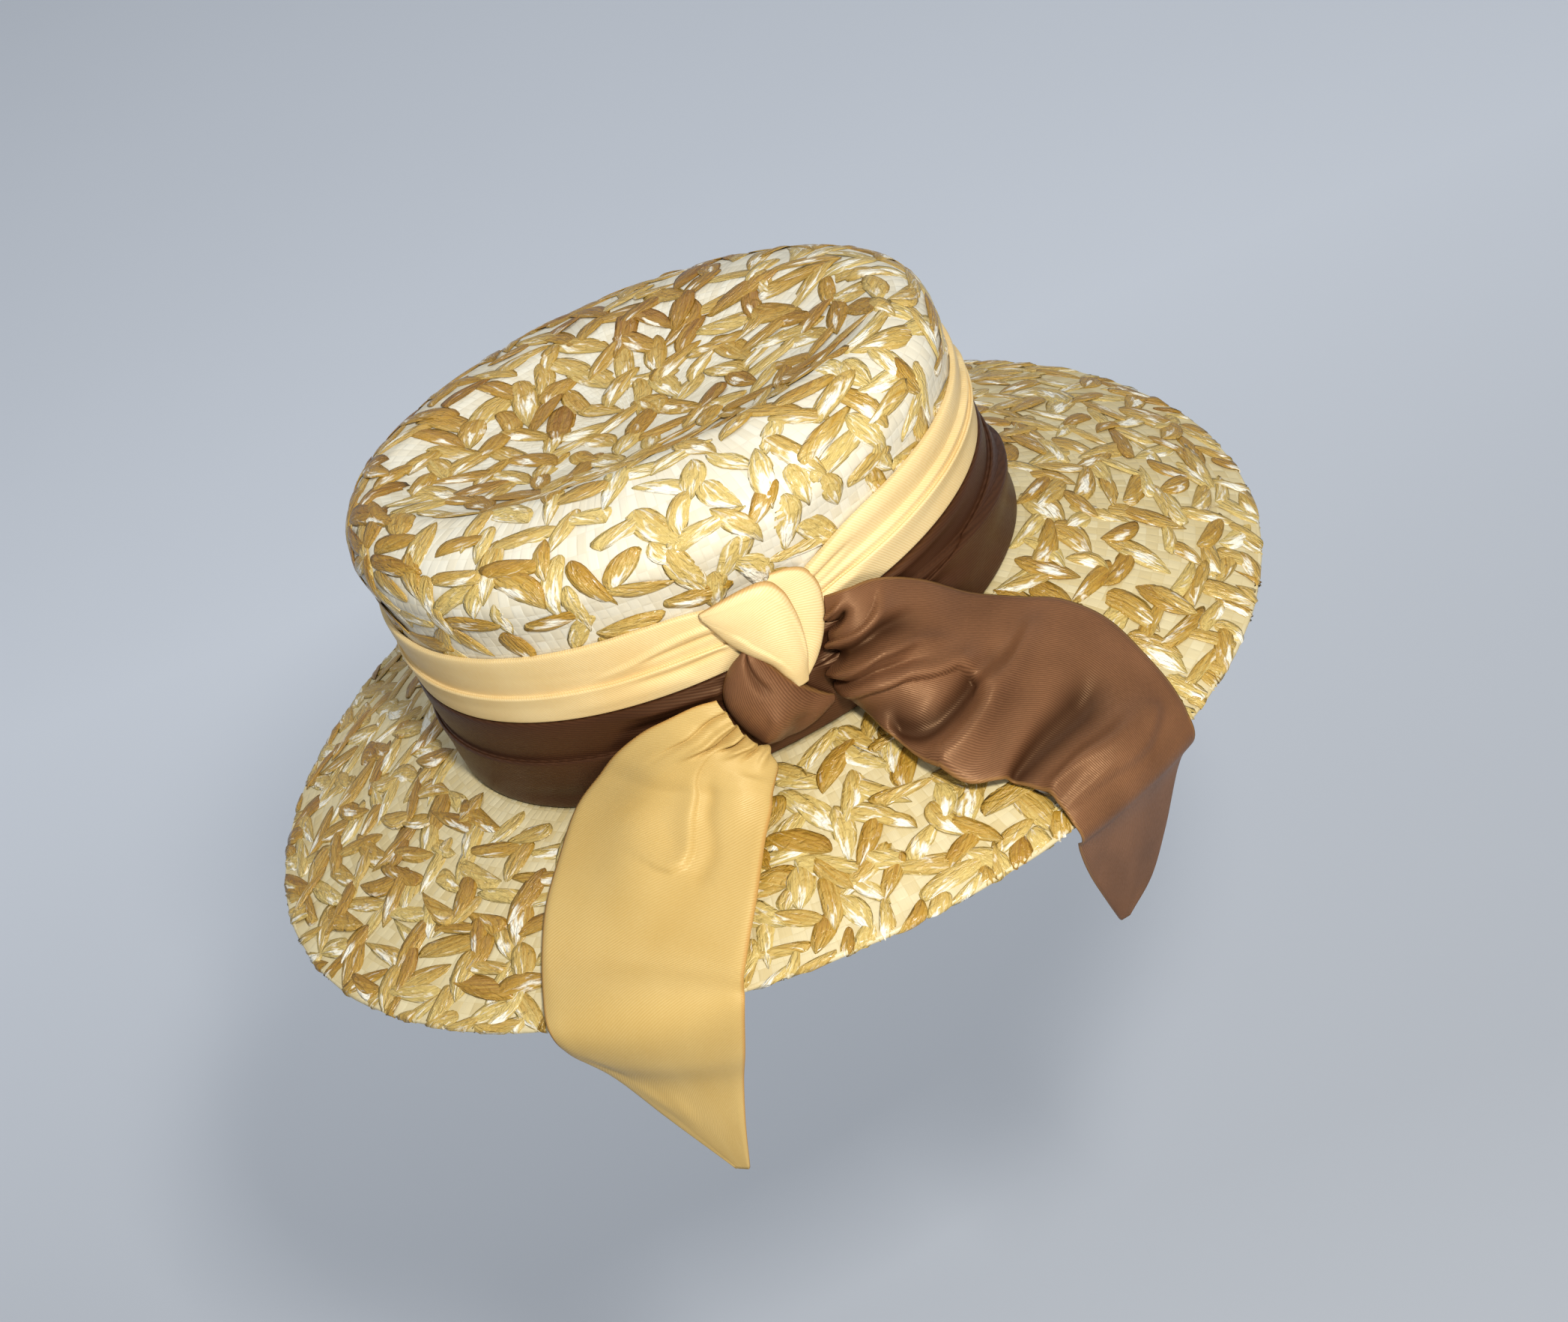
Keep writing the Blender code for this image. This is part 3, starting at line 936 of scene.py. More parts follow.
    def clear_of_brim(self, points: Array, lift: float, edge_lift: float, cap: float) -> Array:
        """Raises points off the brim, and pushes those round its edge out of a circle about it.

        The circle's radius is the lift at the edge plus the cap, and its middle lies the cap's
        depth below the edge and a little inside it, so its top meets the raised brim.

        Args:
            points: points as x, y, z.
            lift: metres to stand off the brim's top.
            edge_lift: metres to stand off its edge.
            cap: the circle's radius without the lift, in metres.

        Returns:
            The moved points.
        """
        angle = np.arctan2(points[..., 1], points[..., 0])
        radius = np.hypot(points[..., 0], points[..., 1])
        height = points[..., 2]
        middle_r = self.edge_radius(angle) - cap / 2
        middle_z = self.brim_height(angle, middle_r) - cap
        near_edge = smooth_step((radius - middle_r + 4.0 * cap) / (4.0 * cap))
        straw = self.brim_height(angle, np.minimum(radius, middle_r))
        floor = straw + lift + (edge_lift - lift) * near_edge
        over = (radius < middle_r) & (height > floor - 2.0 * edge_lift)
        out_r, out_z = radius - middle_r, height - middle_z
        push = np.maximum((edge_lift + cap) / np.maximum(np.hypot(out_r, out_z), SAME_SPOT), 1.0)
        new_r = np.where(over, radius, middle_r + out_r * push)
        new_z = np.where(over, np.maximum(height, floor), middle_z + out_z * push)
        return np.stack((new_r * np.cos(angle), new_r * np.sin(angle), new_z), axis=-1)


def dress(piece: Object, material: Material, slot: Slot, *nodes: str) -> Object:
    """Gives a piece its material and body, and hides the solids that it stands for.

    Args:
        piece: the object.
        material: what it is seen in.
        slot: not used.
        nodes: names of the solids that it stands for.

    Returns:
        The same object.
    """
    piece.data.materials.clear()
    piece.data.materials.append(material)
    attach(piece, BODY)
    if nodes:
        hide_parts(*nodes)
    LOG.info("%s: %d faces", piece.name, len(piece.data.polygons))
    return piece


# Straw shells


@dataclass(frozen=True)
class StrawShells:
    """The crown and the brim as walls of woven straw."""

    form: HatForm
    crown_finish: BasketStraw = BasketStraw()
    brim_finish: BasketStraw = BasketStraw(light=(0.66, 0.575, 0.35), dark=(0.52, 0.40, 0.17))
    columns: int = 288
    wall_rows: int = 20
    turn_rows: int = 16
    dish_rows: int = 22
    dish_crowding: float = 1.1
    last_station: float = 2.995
    calm_station: float = 2.9
    calm_rate: float = 4.0
    pole_travel: float = 1.02
    under_travel: float = 2.2
    brim_rows: int = 30
    rim_rows: int = 7
    foot_gap: float = 0.3 * MM
    swell: float = 0.3 * MM
    wave_shares: Pair = (0.6, 0.4)
    round_waves: Pair = (41.0, 17.0)
    along_waves: Pair = (430.0, 150.0)
    sway: Pair = (2.0, 70.0)
    crown_radius: float = 95.0 * MM
    brim_radius: float = 135.0 * MM

    def puff(self, angle: Array, along: Array) -> Array:
        """Small uneven swell of the straw: two crossed sine waves with unlike pitches.

        Args:
            angle: angles round the hat, in radians.
            along: metres along the skin.

        Returns:
            Metres off the skin.
        """
        sway = self.sway[0] * np.sin(along * self.sway[1])
        first = np.sin(self.round_waves[0] * angle + sway) * np.sin(along * self.along_waves[0])
        second = np.sin(self.round_waves[1] * angle - along * self.along_waves[1])
        return self.swell * (self.wave_shares[0] * first + self.wave_shares[1] * second)

    def crown(self) -> Object:
        """The crown: its outer face from the foot to the dish's middle, and its inner face back.

        Returns:
            The crown's object.
        """
        angle = np.linspace(0.0, FULL_TURN, self.columns, endpoint=False)
        wall = np.linspace(0.0, 1.0, self.wall_rows, endpoint=False)
        turn = np.linspace(1.0, 2.0, self.turn_rows, endpoint=False)
        dish = 2.0 + np.linspace(0.0, 1.0, self.dish_rows) ** self.dish_crowding
        station = np.concatenate((wall, turn, np.minimum(dish, self.last_station)))
        angles, stations = np.meshgrid(angle, station)
        outer = self.form.crown(angles, stations)
        steps = np.linalg.norm(np.diff(outer[:, 0], axis=0), axis=1)
        length = np.concatenate(([0.0], np.cumsum(steps)))
        normal = surface_normals(self.form.crown, angles, stations)
        fade = smooth_step((self.calm_station - stations) * self.calm_rate)
        inner = outer - self.form.straw * normal
        inner[0, :, 2] = outer[0, :, 2]
        outer = outer + normal * (self.puff(angles, length[:, None]) * fade)[..., None]
        top = np.array([0.0, 0.0, self.form.dish_height])
        pole = np.broadcast_to(top, (1, self.columns, 3))
        under = pole - np.array([0.0, 0.0, self.form.straw])
        grid = np.concatenate((under, inner[::-1], outer, pole))
        down = length[-1] * self.pole_travel
        travel = np.concatenate(([-down], -length[::-1], length, [down]))
        piece = round_mesh("straw_crown", grid, travel, self.crown_radius)
        return dress(piece, self.crown_finish.build("crown_straw"), Slot.STRAW, "crown")

    def brim(self) -> Object:
        """The brim: its top from the crown out, round its edge and back underneath.

        Returns:
            The brim's object.
        """
        angle = np.linspace(0.0, FULL_TURN, self.columns, endpoint=False)
        width = self.form.brim_depth(angle) - self.foot_gap
        share = np.linspace(0.0, 1.0, self.brim_rows)[:, None]
        edge_turn = math.pi * self.form.straw / 2
        top = -width[None, :] * (1.0 - share)
        rim = edge_turn * np.linspace(0.0, 1.0, self.rim_rows)[1:-1, None] + 0.0 * width[None, :]
        under = edge_turn + width[None, :] * share
        reach = np.concatenate((top, rim, under))
        angles = np.broadcast_to(angle, reach.shape)
        skin = self.form.brim_face(angles, reach)
        normal = surface_normals(self.form.brim_face, angles, reach)
        grid = skin + normal * self.puff(angles, reach)[..., None]
        past_under = self.under_travel * reach.max()
        travel = np.concatenate((reach.mean(axis=1), [past_under]))
        piece = round_mesh("straw_brim", grid, travel, self.brim_radius)
        return dress(piece, self.brim_finish.build("brim_straw"), Slot.STRAW, "brim")


# Leaves


@dataclass
class Leaves:
    """Where each leaf of a field lies on its surface, and its size and character."""

    first: Array
    second: Array
    tilt: Array
    cut: Array
    length: Array
    width: Array
    strip: Array
    bulge: Array
    crease: Array
    curl: Array
    bow: Array
    tone: Array

    def kept(self, mask: Array) -> "Leaves":
        """The leaves for which the mask is true."""
        return Leaves(**{key: values[mask] for key, values in vars(self).items()})


@dataclass(frozen=True)
class LeafFields:
    """Leaf-shaped floats over the woven straw, in the two slanting directions of one woven mat."""

    form: HatForm
    finish: LeafStraw = LeafStraw()
    seed: int = 11
    rows_across: int = 12
    columns_across: int = 6
    lengths: Pair = (15.5, 26.5)
    widths: Pair = (6.4, 10.2)
    bulges: Pair = (0.25, 0.75)
    rim_bulges: Pair = (0.3, 0.8)
    creases: Pair = (-0.7, 0.7)
    curls: Pair = (-0.35, 0.35)
    cuts: Pair = (0.6, 1.2)
    bow: float = 1.2
    paleness: float = 1.3
    tip_width: float = 0.03
    length_share: float = 0.92
    low_power: float = 1.7
    high_powers: Pair = (2.0, 6.0)
    blunting: float = 0.45
    flat_share: float = 0.12
    clear: float = 0.05 * MM
    tuck: float = 0.1 * MM
    skin: float = 0.10 * MM
    layers: float = 0.25 * MM
    one_lean: float = math.radians(53.0)
    other_lean: float = math.radians(-46.0)
    uneven: float = math.radians(20.0)
    least_lean: float = 0.5
    shear: float = 0.3
    jostle: float = 0.17
    brim_jostle: float = 1.7
    crown_jostle: float = 18.0
    crown_rows: tuple[float, ...] = (0.70, 0.83, 0.96, 1.20, 1.44, 1.68, 1.90)
    crown_pitch: float = 13.0 * MM
    crown_missing: float = 0.22
    girth_points: int = 90
    dish_rows: int = 8
    dish_places: int = 9
    dish_pitch: Pair = (12.2 * MM, 8.4 * MM)
    dish_jostle: Pair = (1.2, 0.8)
    dish_share: float = 0.97
    brim_rows: tuple[float, float, float] = (7.0, 75.0, 7.6)
    brim_reach: float = 168.0
    brim_pitch: float = 11.6
    brim_missing: float = 0.10
    rim_count: int = 126
    rim_place: float = 0.4 * MM
    rim_size: float = 0.85
    rim_lean: Pair = (math.radians(-48.0), 0.3)
    breadth_painted_shade: float = 0.7
    painted_glint_place: Pair = (0.28, 0.34)
    painted_glint_size: Pair = (0.24, 0.26)
    painted_glint_jostle: float = 0.14
    painted_glint_power: float = 0.7
    map_spread: float = 3.0
    bald_angle: float = math.radians(-68.0)
    browner: float = 0.42
    brim_browner: float = 0.12
    strides: int = 8
    least_pace: float = 5.0 * MM
    away: tuple[float, float, float] = (0.0, 0.0, -1.0)

    def character(
        self, chance: Generator, first: Array, second: Array, tilt: Array, cut: Array, size: float
    ) -> Leaves:
        """Gives leaves their size, section and colour by chance.

        Args:
            chance: the source of the small differences between leaves.
            first: each leaf's place on the surface's first parameter.
            second: its place on the second.
            tilt: the angle of its length from the first parameter's direction.
            cut: how far its ends are cut aslant, as metres along for each metre across.
            size: a factor on length and width.

        Returns:
            The leaves.
        """
        count = len(first)
        return Leaves(
            first=first,
            second=second,
            tilt=tilt,
            cut=cut * chance.uniform(*self.cuts, count),
            length=size * chance.uniform(*self.lengths, count) * MM,
            width=size * chance.uniform(*self.widths, count) * MM,
            strip=chance.uniform(0.0, 1.0, count),
            bulge=chance.uniform(*self.bulges, count) * MM,
            crease=chance.uniform(*self.creases, count),
            curl=chance.uniform(*self.curls, count) * MM,
            bow=chance.normal(0.0, self.bow, count) * MM,
            tone=chance.uniform(0.0, 1.0, count) ** self.paleness,
        )

    def end_cut(self, tilt: Array) -> Array:
        """How far a leaf's ends are cut aslant to run along its row, up to a limit for a flat tilt."""
        return -np.cos(tilt) * np.sign(np.sin(tilt)) / np.maximum(np.abs(np.sin(tilt)), self.least_lean)

    def ring(
        self,
        chance: Generator,
        number: int,
        count: int,
        place: float,
        side: Side,
        size: float,
        missing: float,
    ) -> Leaves:
        """One row of leaves round the hat, in turn in the mat's two directions.

        The mat was pressed over a block, so a direction keeps its compass bearing all round, but
        the mat is squeezed round the hat by 1 - shear sin^2(2 angle) where it lies on its bias.

        Args:
            chance: the field's random numbers.
            number: the row's number, which sets its shift.
            count: places in the row.
            place: where the row lies on the surface.
            side: whether it lies on the crown or the brim.
            size: factor on the leaves' size.
            missing: share of the places left empty.

        Returns:
            The leaves of the row.
        """
        index = np.arange(count)
        steep = (index + number) % 2 == 0
        shift = chance.normal(0.0, self.jostle, count)
        angle = (index + 0.5 * (number % 2) + shift) * FULL_TURN / count
        bearing = np.where(steep, self.one_lean, self.other_lean)
        bearing = bearing + chance.normal(0.0, self.uneven, count)
        squeeze = 1.0 - self.shear * np.sin(2.0 * angle) ** 2
        round_part = squeeze * np.sin(bearing - angle)
        out_part = -side.value * np.cos(bearing - angle)
        tilt = np.arctan2(out_part, round_part)
        tilt = np.where(np.cos(tilt) < 0.0, tilt + math.pi, tilt)
        jostle = self.brim_jostle if side is Side.BRIM else self.crown_jostle
        second = place + chance.normal(0.0, 1.0, count) * jostle * MM
        leaves = self.character(chance, angle, second, tilt, self.end_cut(tilt), size)
        sparse = 0.5 + 0.5 * np.cos(angle - self.bald_angle)
        browner = self.browner if side is Side.CROWN else self.brim_browner
        leaves.tone = leaves.tone + browner * (1.0 - 2.0 * sparse)
        return leaves.kept(chance.uniform(0.0, 1.0, count) > missing * sparse**2)

    def top(self, chance: Generator) -> Leaves:
        """Leaves over the dish and its ridge, in straight rows from back to front.

        Args:
            chance: the field's random numbers.

        Returns:
            The leaves of all the rows.
        """
        along, across = self.dish_pitch
        number = np.arange(-self.dish_rows, self.dish_rows + 1)
        index = np.arange(-self.dish_places, self.dish_places + 1)
        numbers, places = (part.ravel() for part in np.meshgrid(number, index, indexing="ij"))
        along_jostle, across_jostle = self.dish_jostle
        x = (places + 0.5 * (numbers % 2)) * along + chance.normal(0.0, along_jostle, len(places)) * MM
        y = numbers * across + chance.normal(0.0, across_jostle, len(places)) * MM
        inside = np.hypot(x, y) < self.dish_share * self.form.oval(np.arctan2(y, x), *self.form.ridge)
        x, y, numbers, places = x[inside], y[inside], numbers[inside], places[inside]
        steep = (places + numbers) % 2 == 0
        tilt = np.where(steep, self.one_lean, self.other_lean) + chance.normal(0.0, self.uneven, len(x))
        leaves = self.character(chance, x, y, tilt, self.end_cut(tilt), 1.0)
        leaves.tone = leaves.tone + 0.5 * self.browner
        return leaves

    def points(self, surface: Surface, leaves: Leaves, facing: float) -> Array:
        """Points of all leaves at once, as leaf, row, column and x, y, z.

        With a from -1 to 1 along a leaf and b from -1 to 1 across it, half its width is
        (1 - |a|^p)^q: a point for the small p of its lower end, cut square for the large p of its
        upper end. Its middle line bows by 1 - a^2, and the cut is aslant. It stands off the straw by
        the bulge times (1 - a^4)^0.7 and 1 - b^2, highest at a lengthwise crease, it leans to one
        side, and darker leaves lie in a higher layer.

        Args:
            surface: what the leaves lie on.
            leaves: the leaves.
            facing: 1, or -1 where the surface's normals point inwards.

        Returns:
            The points.
        """
        a = np.sin(np.linspace(-math.pi / 2, math.pi / 2, self.rows_across))[None, :, None]
        b = np.linspace(-1.0, 1.0, self.columns_across)[None, None, :]
        size = {key: values[:, None, None] for key, values in vars(leaves).items()}
        one_way, other_way = self.ways(surface, leaves)
        fall = self.fall(one_way, other_way, leaves)[0][:, None, None]
        upper = a * np.sign(fall) < 0.0
        sharp = np.where(upper, self.high_powers[0] + self.high_powers[1] * size["strip"], self.low_power)
        blunt = np.where(upper, 1.0 - self.blunting * size["strip"], 1.0)
        outline = (1.0 - np.abs(a) ** sharp) ** blunt
        half_width = size["width"] / 2 * (self.tip_width + (1.0 - self.tip_width) * outline)
        across = half_width * b + size["bow"] * (1.0 - a**2)
        along = size["length"] / 2 * a * self.length_share + size["cut"] * half_width * b
        turn = size["tilt"]
        step_one = along * np.cos(turn) - across * np.sin(turn)
        step_two = along * np.sin(turn) + across * np.cos(turn)
        first = size["first"] + step_one / np.linalg.norm(one_way, axis=-1)[:, None, None]
        second = self.walked(surface, first, size["second"] + 0.0 * first, step_two)
        rise = (1.0 - a**4) ** 0.7
        ridge = (1.0 - b**2) * (1.0 - 0.5 * np.abs(b - size["crease"]) / (1.0 + np.abs(size["crease"])))
        section = self.flat_share + (1.0 - self.flat_share) * ridge
        lift = size["bulge"] * rise * section - self.tuck * (1.0 - rise)
        lift = lift + rise * (size["curl"] * b + self.layers * size["tone"]) + self.clear
        normal = surface_normals(surface, first, second) * facing
        return surface(first, second) + normal * lift[..., None]

    def walked(self, surface: Surface, first: Array, second: Array, distance: Array) -> Array:
        """The second parameter after a walk of this distance along it, in a few even strides.

        Args:
            surface: what is walked on.
            first: first parameter, which stays.
            second: second parameter at the start.
            distance: metres, which may be negative.

        Returns:
            The second parameter at the end.
        """
        for _ in range(self.strides):
            step = surface(first, second + TINY_STEP) - surface(first, second)
            pace = np.linalg.norm(step, axis=-1) / TINY_STEP
            second = second + distance / self.strides / np.maximum(pace, self.least_pace)
        return second

    def ways(self, surface: Surface, leaves: Leaves) -> tuple[Array, Array]:
        """How far a point moves for one unit of each of the surface's two parameters, at each leaf.

        Args:
            surface: what the leaves lie on.
            leaves: the leaves.

        Returns:
            Two arrays of x, y, z.
        """
        here = surface(leaves.first, leaves.second)
        one_way = surface(leaves.first + TINY_STEP, leaves.second) - here
        other_way = surface(leaves.first, leaves.second + TINY_STEP) - here
        return one_way / TINY_STEP, other_way / TINY_STEP

    def fall(self, one_way: Array, other_way: Array, leaves: Leaves) -> tuple[Array, Array]:
        """How far a leaf's length, and its breadth, point away from the light, from -1 to 1.

        Args:
            one_way: how far a point moves for one unit of the surface's first parameter.
            other_way: the same for the second.
            leaves: the leaves.

        Returns:
            The share for each leaf's length, and for its breadth.
        """
        away = np.array(self.away)
        one = one_way @ away / np.linalg.norm(one_way, axis=-1)
        other = other_way @ away / np.linalg.norm(other_way, axis=-1)
        turn = leaves.tilt
        return one * np.cos(turn) + other * np.sin(turn), other * np.cos(turn) - one * np.sin(turn)

    def field(
        self, name: str, surface: Surface, rows: Sequence[Leaves], chance: Generator, facing: float
    ) -> Object:
        """Joins rows of leaves into one mesh, and gives each leaf its own tone, grain, painted glint and
        painted shade.

        A leaf's painted glint, a painted highlight, is a bell curve round a spot that lies towards the end
        and edge that point away from the light, where the leaf dips, and its upper mark is painted shade
        that makes it darker towards the other end.

        Args:
            name: the piece's name.
            surface: what the leaves lie on.
            rows: the leaves, row by row.
            chance: the field's random numbers.
            facing: 1, or -1 where the surface's normals point inwards.

        Returns:
            The piece's object.
        """
        joined = Leaves(**{key: np.concatenate([vars(r)[key] for r in rows]) for key in vars(rows[0])})
        grid = self.points(surface, joined, facing)
        count, tall, broad = grid.shape[:3]
        one = quad_grid(tall, broad)
        quads = (np.arange(count)[:, None, None] * tall * broad + one[None]).reshape(-1, 4)
        a = 0.5 * np.sin(np.linspace(-math.pi / 2, math.pi / 2, tall))[None, :, None]
        b = np.linspace(-0.5, 0.5, broad)[None, None, :]
        start = chance.uniform(0.0, self.map_spread, (2, count, 1, 1))
        u = start[0] + b * joined.width[:, None, None] + 0.0 * a
        v = start[1] + a * joined.length[:, None, None] + 0.0 * b
        uv = np.stack((u, v), axis=-1).reshape(-1, 2)[quads]
        tone = np.broadcast_to(joined.tone[:, None, None], (count, tall, broad))
        length_fall, breadth_fall = self.fall(*self.ways(surface, joined), joined)
        length_fall, breadth_fall = length_fall[:, None, None], breadth_fall[:, None, None]
        # painted shade: higher towards the end and edge that point towards the light
        upper = 0.0 - a * length_fall - self.breadth_painted_shade * b * breadth_fall
        # painted highlight: a bell curve round a spot towards the end and edge that point away from the
        # light
        jostle = (-self.painted_glint_jostle, self.painted_glint_jostle, (count, 1, 1))
        off_a = (a - (self.painted_glint_place[0] * length_fall + chance.uniform(*jostle))) / self.painted_glint_size[0]
        off_b = (b - (self.painted_glint_place[1] * breadth_fall + chance.uniform(*jostle))) / self.painted_glint_size[1]
        strength = chance.uniform(0.0, 1.0, (count, 1, 1)) ** self.painted_glint_power
        glint = strength * np.exp(-(off_a**2) - off_b**2)
        marks = {"tone": tone, "upper": upper, "glint": glint}
        piece = mesh_object(name, grid.reshape(-1, 3), quads, uv, marks)
        thicken(piece, self.skin, -1.0)
        return dress(piece, self.finish.build(name + "_straw"), Slot.STRAW)

    def crown(self) -> Object:
        """Leaves from the band's top up the wall and over the shoulder.

        Returns:
            The piece's object.
        """
        chance = np.random.default_rng(self.seed)
        angle = np.linspace(0.0, FULL_TURN, self.girth_points)
        rows = []
        for number, station in enumerate(self.crown_rows):
            around = self.form.crown(angle, np.full_like(angle, station))
            girth = float(np.linalg.norm(np.diff(around, axis=0), axis=1).sum())
            count = 2 * round(girth / self.crown_pitch / 2)
            rows.append(self.ring(chance, number, count, station, Side.CROWN, 1.0, self.crown_missing))
        return self.field("crown_leaves", self.form.crown, rows, chance, 1.0)

    def dish(self) -> Object:
        """Leaves over the crown's top."""
        chance = np.random.default_rng(self.seed + 3)
        return self.field("dish_leaves", self.form.top, [self.top(chance)], chance, 1.0)

    def brim(self) -> Object:
        """Leaves over the brim's top, in rows that follow its edge.

        Returns:
            The piece's object.
        """
        chance = np.random.default_rng(self.seed + 1)
        rows = []
        for number, back in enumerate(np.arange(*self.brim_rows)):
            count = 2 * round(FULL_TURN * (self.brim_reach - back) / self.brim_pitch / 2)
            row = self.ring(chance, number, count, -back * MM, Side.BRIM, 1.0, self.brim_missing)
            inward = 0.5 * row.length * np.abs(np.sin(row.tilt)) + 0.3 * row.width
            row.second = np.maximum(row.second, inward - self.form.brim_depth(row.first))
            rows.append(row)
        return self.field("brim_leaves", self.form.brim_face, rows, chance, -1.0)

    def rim(self) -> Object:
        """Leaves that wrap round the brim's edge and make it slightly scalloped.

        Returns:
            The piece's object.
        """
        chance = np.random.default_rng(self.seed + 2)
        row = self.ring(chance, 0, self.rim_count, self.rim_place, Side.BRIM, self.rim_size, 0.0)
        row.tilt = self.rim_lean[0] + chance.normal(0.0, self.rim_lean[1], len(row.tone))
        row.bulge = chance.uniform(*self.rim_bulges, len(row.tone)) * MM
        return self.field("rim_leaves", self.form.brim_face, [row], chance, -1.0)


# Ribbons


Path = tuple[Pair, ...]
PATH_SAMPLES = 36
PATH_BLUR = 1.6
FADE_IN = 0.12
FADE_OUT = 0.35


class Fold(NamedTuple):
    """A ridge or valley along a curve through places along and across a ribbon."""

    path: Path
    rise: float
    width: float
    bias: float = 1.0
    start: float = FADE_IN


class Lip(NamedTuple):
    """A curve whose left side, seen along it, stands higher and sinks back over its reach."""

    path: Path
    rise: float
    reach: float
    edge: float = 0.9
    over: float = 0.0
    start: float = FADE_IN


def beside_path(place: Array, path: Path, scale: Pair) -> tuple[Array, Array, Array]:
    """Share along a curve on a ribbon, signed distance from it, and its direction there.

    The curve is sampled. Each value is the mean over the samples, weighted by how close a sample
    is: the bell curve of its distance less the shortest one.

    Args:
        place: along and across, one pair for each point.
        path: the places that the curve passes through, in the same terms.
        scale: millimetres for one unit along and across.

    Returns:
        The share, 0 at the start and 1 at the end, the distance in millimetres, positive to the
        left, and the direction to the left.
    """
    knots = np.array(path) * scale
    curve = curve_at(knots, np.linspace(0.0, len(knots) - 1.0, PATH_SAMPLES))
    way = np.gradient(curve, axis=0)
    way = way / np.linalg.norm(way, axis=1, keepdims=True)
    leftward = np.stack((-way[:, 1], way[:, 0]), axis=-1)
    gap = (place * scale)[..., None, :] - curve
    distance = np.linalg.norm(gap, axis=-1)
    weight = np.exp(-(((distance - distance.min(axis=-1, keepdims=True)) / PATH_BLUR) ** 2))
    weight = weight / weight.sum(axis=-1, keepdims=True)
    aside = ((gap * leftward).sum(axis=-1) * weight).sum(axis=-1)
    return weight @ np.linspace(0.0, 1.0, PATH_SAMPLES), aside, weight @ leftward


def fold_shape(place: Array, folds: Sequence[Fold | Lip], scale: Pair) -> tuple[Array, Array]:
    """Height of all folds over a ribbon, and how far they drag it sideways, in millimetres.

    A fold is a bell curve across its path, wider on one side by its bias. A lip is a rolled edge: a
    quarter circle that stands up steeply from its path, sinks back on a bell curve of its reach,
    and is dragged over its foot. Both fade in over the path's start and out over its end.

    Args:
        place: along and across, one pair for each point.
        folds: the folds and lips.
        scale: millimetres for one unit along and across.

    Returns:
        The height, and the drag as x and y.
    """
    rise = np.zeros(place.shape[:-1])
    drag = np.zeros(place.shape)
    for fold in folds:
        share, aside, leftward = beside_path(place, fold.path, scale)
        fade = smooth_step(share / fold.start) * smooth_step((1.0 - share) / FADE_OUT)
        if isinstance(fold, Fold):
            width = np.where(aside > 0.0, fold.width * fold.bias, fold.width / fold.bias)
            rise += fold.rise * fade * np.exp(-((aside / width) ** 2))
        else:
            step = fade * np.sqrt(1.0 - (1.0 - np.clip(aside / fold.edge, 0.0, 1.0)) ** 2)
            rise += fold.rise * step * np.exp(-((np.maximum(aside, 0.0) / fold.reach) ** 2))
            over = fold.over * step * np.exp(-np.maximum(aside, 0.0) / (3.0 * fold.over + 0.1))
            drag -= leftward * over[..., None]
    return rise, drag


class ProfilePoint(NamedTuple):
    """A point of a band's cross-section: share of its height, and millimetres off the straw."""

    height: float
    lift: float


